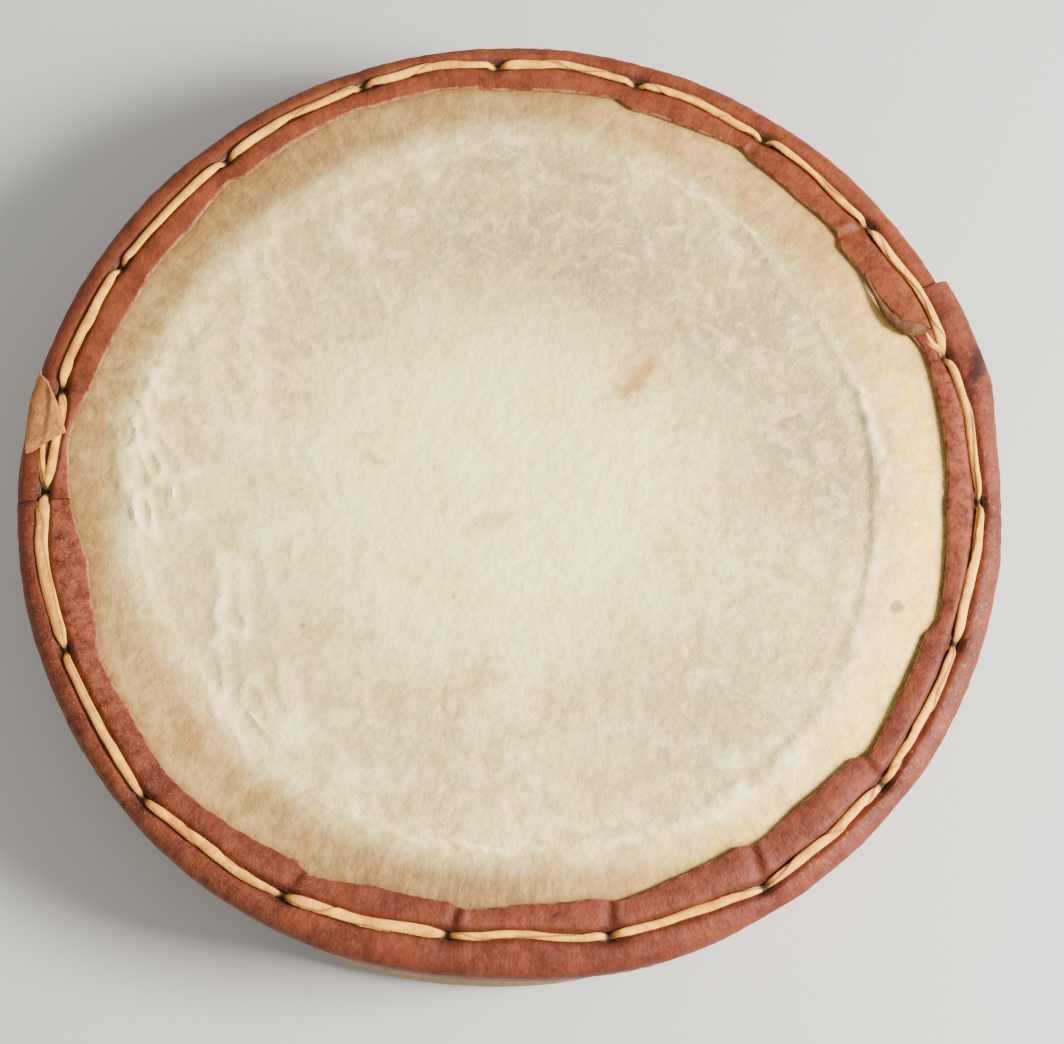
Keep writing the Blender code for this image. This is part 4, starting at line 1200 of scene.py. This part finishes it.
def add_strands(name, strands, finish):
    points, faces, painted_shade, edge = [], [], [], []
    for strand in strands:
        more_points, more_faces, more_shade, more_lap_shade = strand_mesh(*strand)
        base = sum(len(part) for part in points)
        faces += [[base + corner for corner in face] for face in more_faces]
        points.append(more_points)
        painted_shade.append(more_shade)
        edge.append(more_lap_shade)
    values = {"painted_shade": np.concatenate(painted_shade), "edge": np.concatenate(edge)}
    piece = add_mesh(name, np.concatenate(points).tolist(), faces, finish, values)
    return piece


def lace_tail(index, degrees, offset):
    """A loose end of the thong, from a hole to where it lies on the leather beside the run."""
    start = HOLE_ANGLES[index]
    count = int(abs(degrees) * DEGREE / STRAND_STEP)
    share = np.linspace(0.0, 1.0, count)
    angle = start + share * degrees
    along = stitch_line(angle) + offset * smooth_step(share, 0.0, TAIL_SETTLED)
    thickness = np.full(count, THONG_END_THICKNESS)
    lift = lace_lift(dip((angle - start) * DEGREE), STRIP_TOP - GROOVE_DEPTH / 2, thickness)
    width = TAIL_WIDTH * (1 - TAIL_NARROWED * smooth_step(share, TAIL_NARROWS, 1.0))
    # Painted shade where the loose end comes out of its hole
    painted_shade = 1 - smooth_step(share, 0.0, TAIL_SHADE_FADE)
    return angle, along, lift, width, thickness, 90.0 + TAIL_TURNING * share, 0.0 * share, painted_shade


def make_laces(finish):
    upper = add_strands("thong_upper", [lace_run(RIGHT_HOLE, LEFT_HOLE)], finish)
    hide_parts("lacing_upper")
    tails = [lace_tail(*tail) for tail in TAILS]
    lower = add_strands("thong_lower", [lace_run(LEFT_HOLE, len(STITCHES))] + tails, finish)
    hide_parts("lacing_lower")


def make_flap(finish):
    """The undyed flap over the thong at the left, and down over the rim's shoulder."""
    share = np.linspace(0.0, 1.0, FLAP_ROWS)
    inner_angle, inner_radius = along_places(FLAP_EDGE, share)
    outer_angle, past_shoulder = along_places(FLAP_OUTER, share)
    inner_along = top_at(inner_radius)
    outer_along = SHOULDER_START + past_shoulder
    across = np.linspace(0.0, 1.0, FLAP_COLUMNS)
    angle = inner_angle[:, None] + across * (outer_angle - inner_angle)[:, None]
    along = inner_along[:, None] + across * (outer_along - inner_along)[:, None]
    height, _, _ = strip_relief(angle, along)
    thong_top = STRIP_TOP - GROOVE_DEPTH + THONG_THICKNESS
    near = np.abs(along - lace_line(angle) - FLAP_PAST_LACE)
    over_thong = (thong_top - STRIP_TOP) * (1 - smooth_step(near, *FLAP_OVER_LACE))
    drape = STRIP_TOP + FIT + np.hypot(np.maximum(height, 0.0) * FLAP_FOLLOWS, over_thong)
    nap = layered(stacked(angle * DEGREE, along, 0.0), FLAP_NAP)
    curl_along, curl_across = FLAP_CURLS
    curl = FLAP_CURL * smooth_step(share[:, None], *curl_along) * smooth_step(across, *curl_across)
    bottom = rim_point(angle, along, drape + curl)
    bevel = smooth_step(np.minimum(share, 1 - share)[:, None], 0.0, FLAP_BEVEL[0])
    bevel = np.minimum(bevel, smooth_step(across, 0.0, FLAP_BEVEL[1]))
    thickness = FLAP_THICKNESS * (FLAP_EDGE_SHARE + (1 - FLAP_EDGE_SHARE) * bevel)
    top = rim_point(angle, along, drape + curl + thickness + nap)
    piece = sheet_piece("suede_flap", top, bottom, finish)
    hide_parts("thong_tab")


def make_roll(finish):
    """The upper strip's right-hand end, rolled up over itself with its flesh side out."""
    share = np.linspace(0.0, 1.0, ROLL_ROWS)
    angle, radius = along_places(ROLL_PATH, share)
    size = ROLL_END_RADIUS * (ROLL_START_SHARE + (1 - ROLL_START_SHARE) * smooth_step(share, *ROLL_GROWS))
    rest = STRIP_TOP + size * ROLL_REST
    centre, upright, tangent = path_on_rim(angle, top_at(radius), rest)
    normal = unit(upright)
    aside = np.cross(normal, tangent)
    turn = np.linspace(-pi / 2, -pi / 2 + ROLL_TURNS * 2 * pi, ROLL_POINTS)
    outer = 1 - ROLL_PITCH * (turn - turn[0]) / (2 * pi)
    inner = (outer - ROLL_THICKNESS)[::-1]
    turns = np.concatenate([turn, turn[::-1]])
    reach = np.concatenate([outer, inner])
    places = stacked(share[:, None] * ROLL_NOISE_LENGTH, ROLL_NOISE_RADIUS * np.cos(turns),
                     ROLL_NOISE_RADIUS * np.sin(turns))
    uneven = 1 + ROLL_UNEVEN * layered(places, ROLL_NOISES)
    sideways = size[:, None] * reach * uneven * np.cos(turns)
    upwards = size[:, None] * reach * uneven * np.sin(turns)
    points = centre[:, None] + sideways[..., None] * aside[:, None] + upwards[..., None] * normal[:, None]
    ring = len(turns)
    index = np.arange(ROLL_ROWS * ring).reshape(ROLL_ROWS, ring)
    after = np.roll(index, -1, axis=1)
    faces = np.stack([index[:-1], after[:-1], after[1:], index[1:]], axis=-1).reshape(-1, 4)
    caps = []
    for row in (index[0], index[-1][::-1]):
        caps += [[row[i + 1], row[i], row[ring - 1 - i], row[ring - 2 - i]] for i in range(ROLL_POINTS - 1)]
    faces = np.concatenate([faces, np.array(caps)]).tolist()
    piece = add_mesh("leather_roll", points.reshape(-1, 3).tolist(), faces, finish)


def make_shell(finish):
    """The carved wooden ring, with the marks of the knife in its bore."""
    angles = np.arange(SHELL_STATIONS) * 360.0 / SHELL_STATIONS
    side = np.linspace(side_at(FOOT_CHAMFER), SHOULDER_END, 12)
    over = np.concatenate([[SHOULDER_MIDDLE], np.linspace(SHOULDER_START, 0.0, 8)])
    crown = np.linspace(0.0, -CROWN_RADIUS * pi / 2, 8)[1:]
    along = np.concatenate([side, over, crown])
    outside = rim_point(angles[:, None], along[None, :], 0.0)
    above, below = BORE_INSET
    heights = np.linspace(SHELL_HEIGHT - CROWN_RADIUS - above, FOOT_CHAMFER + below, 22)
    around = angles[:, None] + 0 * heights
    marks = noise(turned(around, BORE_RADIUS, heights * KNIFE_STRETCH), KNIFE_WIDTH, KNIFE_SEED)
    cuts = KNIFE_DEPTH * (0.5 + 0.5 * marks)
    bore = turned(around, BORE_RADIUS + cuts, heights)
    foot_radius = rim_section(side_at(FOOT_CHAMFER), 0.0)[0]
    uneven = out_of_round(angles)
    foot = np.stack([turned(angles, np.full(SHELL_STATIONS, BORE_RADIUS), FOOT_CHAMFER),
                     turned(angles, np.full(SHELL_STATIONS, BORE_RADIUS + FOOT_CHAMFER), 0.0),
                     turned(angles, foot_radius - FOOT_CHAMFER + uneven, 0.0)], axis=1)
    points = np.concatenate([outside, bore, foot], axis=1)
    count, ring = points.shape[:2]
    index = np.arange(count * ring).reshape(count, ring)
    ahead, after = np.roll(index, -1, axis=0), np.roll(index, -1, axis=1)
    both = np.roll(ahead, -1, axis=1)
    faces = np.stack([index, ahead, both, after], axis=-1).reshape(-1, 4).tolist()
    piece = add_mesh("wood_ring", points.reshape(-1, 3).tolist(), faces, finish)
    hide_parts("wooden_shell")


def add_camera():
    tilt = radians(CAMERA_TILT)
    turn = radians(CAMERA_TURN)
    back = Vector((sin(tilt) * sin(turn), -sin(tilt) * cos(turn), cos(tilt)))
    right = Vector((cos(turn), sin(turn), 0.0))
    up = back.cross(right)
    data = bpy.data.cameras.new("view")
    data.lens = CAMERA_LENS
    data.shift_x, data.shift_y = CAMERA_SHIFT
    camera = linked("view", data)
    turned_to = Matrix((right, up, back)).transposed().to_4x4()
    place = Vector((0, 0, AIM_HEIGHT)) + back * CAMERA_DISTANCE
    camera.matrix_world = Matrix.Translation(place) @ turned_to
    bpy.context.scene.camera = camera


def add_key_light():
    """A square soft light that faces the drum."""
    data = bpy.data.lights.new("key", "AREA")
    data.size = KEY_SIZE
    data.energy = KEY_POWER
    data.color = KEY_COLOUR
    lamp = linked("key", data)
    turn = radians(KEY_AZIMUTH)
    rise = radians(KEY_ELEVATION)
    towards = Vector((cos(turn) * cos(rise), sin(turn) * cos(rise), sin(rise)))
    lamp.location = Vector((0, 0, SHELL_HEIGHT)) + towards * KEY_DISTANCE
    lamp.rotation_euler = towards.to_track_quat("Z", "Y").to_euler()


def add_studio():
    """Pale floor, soft key light from the right and an even pale surround."""
    f = Finish("floor")
    f.colour = FLOOR_GREY
    f.end(0.8, f.bump(f.noise(0.004), 0.0001))
    half = FLOOR_SIZE / 2
    mesh = bpy.data.meshes.new("floor")
    corners = [(-half, -half, 0), (half, -half, 0), (half, half, 0), (-half, half, 0)]
    mesh.from_pydata(corners, [], [range(4)])
    mesh.materials.append(f.material)
    floor = linked("floor", mesh)
    world = bpy.data.worlds.new("surround")
    world.use_nodes = True
    surround = world.node_tree.nodes["Background"]
    surround.inputs["Color"].default_value = SURROUND_COLOUR
    surround.inputs["Strength"].default_value = SURROUND_STRENGTH
    bpy.context.scene.world = world
    add_key_light()


add_camera()
add_studio()
make_head(rawhide_finish())
make_upper_strip(leather_finish("red_leather_upper", *UPPER_REDS))
make_lower_strip(leather_finish("red_leather_lower", *LOWER_REDS))
make_laces(thong_finish())
make_flap(suede_finish("undyed_suede", (0.33, 0.125, 0.037), (0.46, 0.195, 0.064)))
make_roll(suede_finish("flesh_side", (0.100, 0.041, 0.0200), (0.160, 0.072, 0.037)))
make_shell(wood_finish())
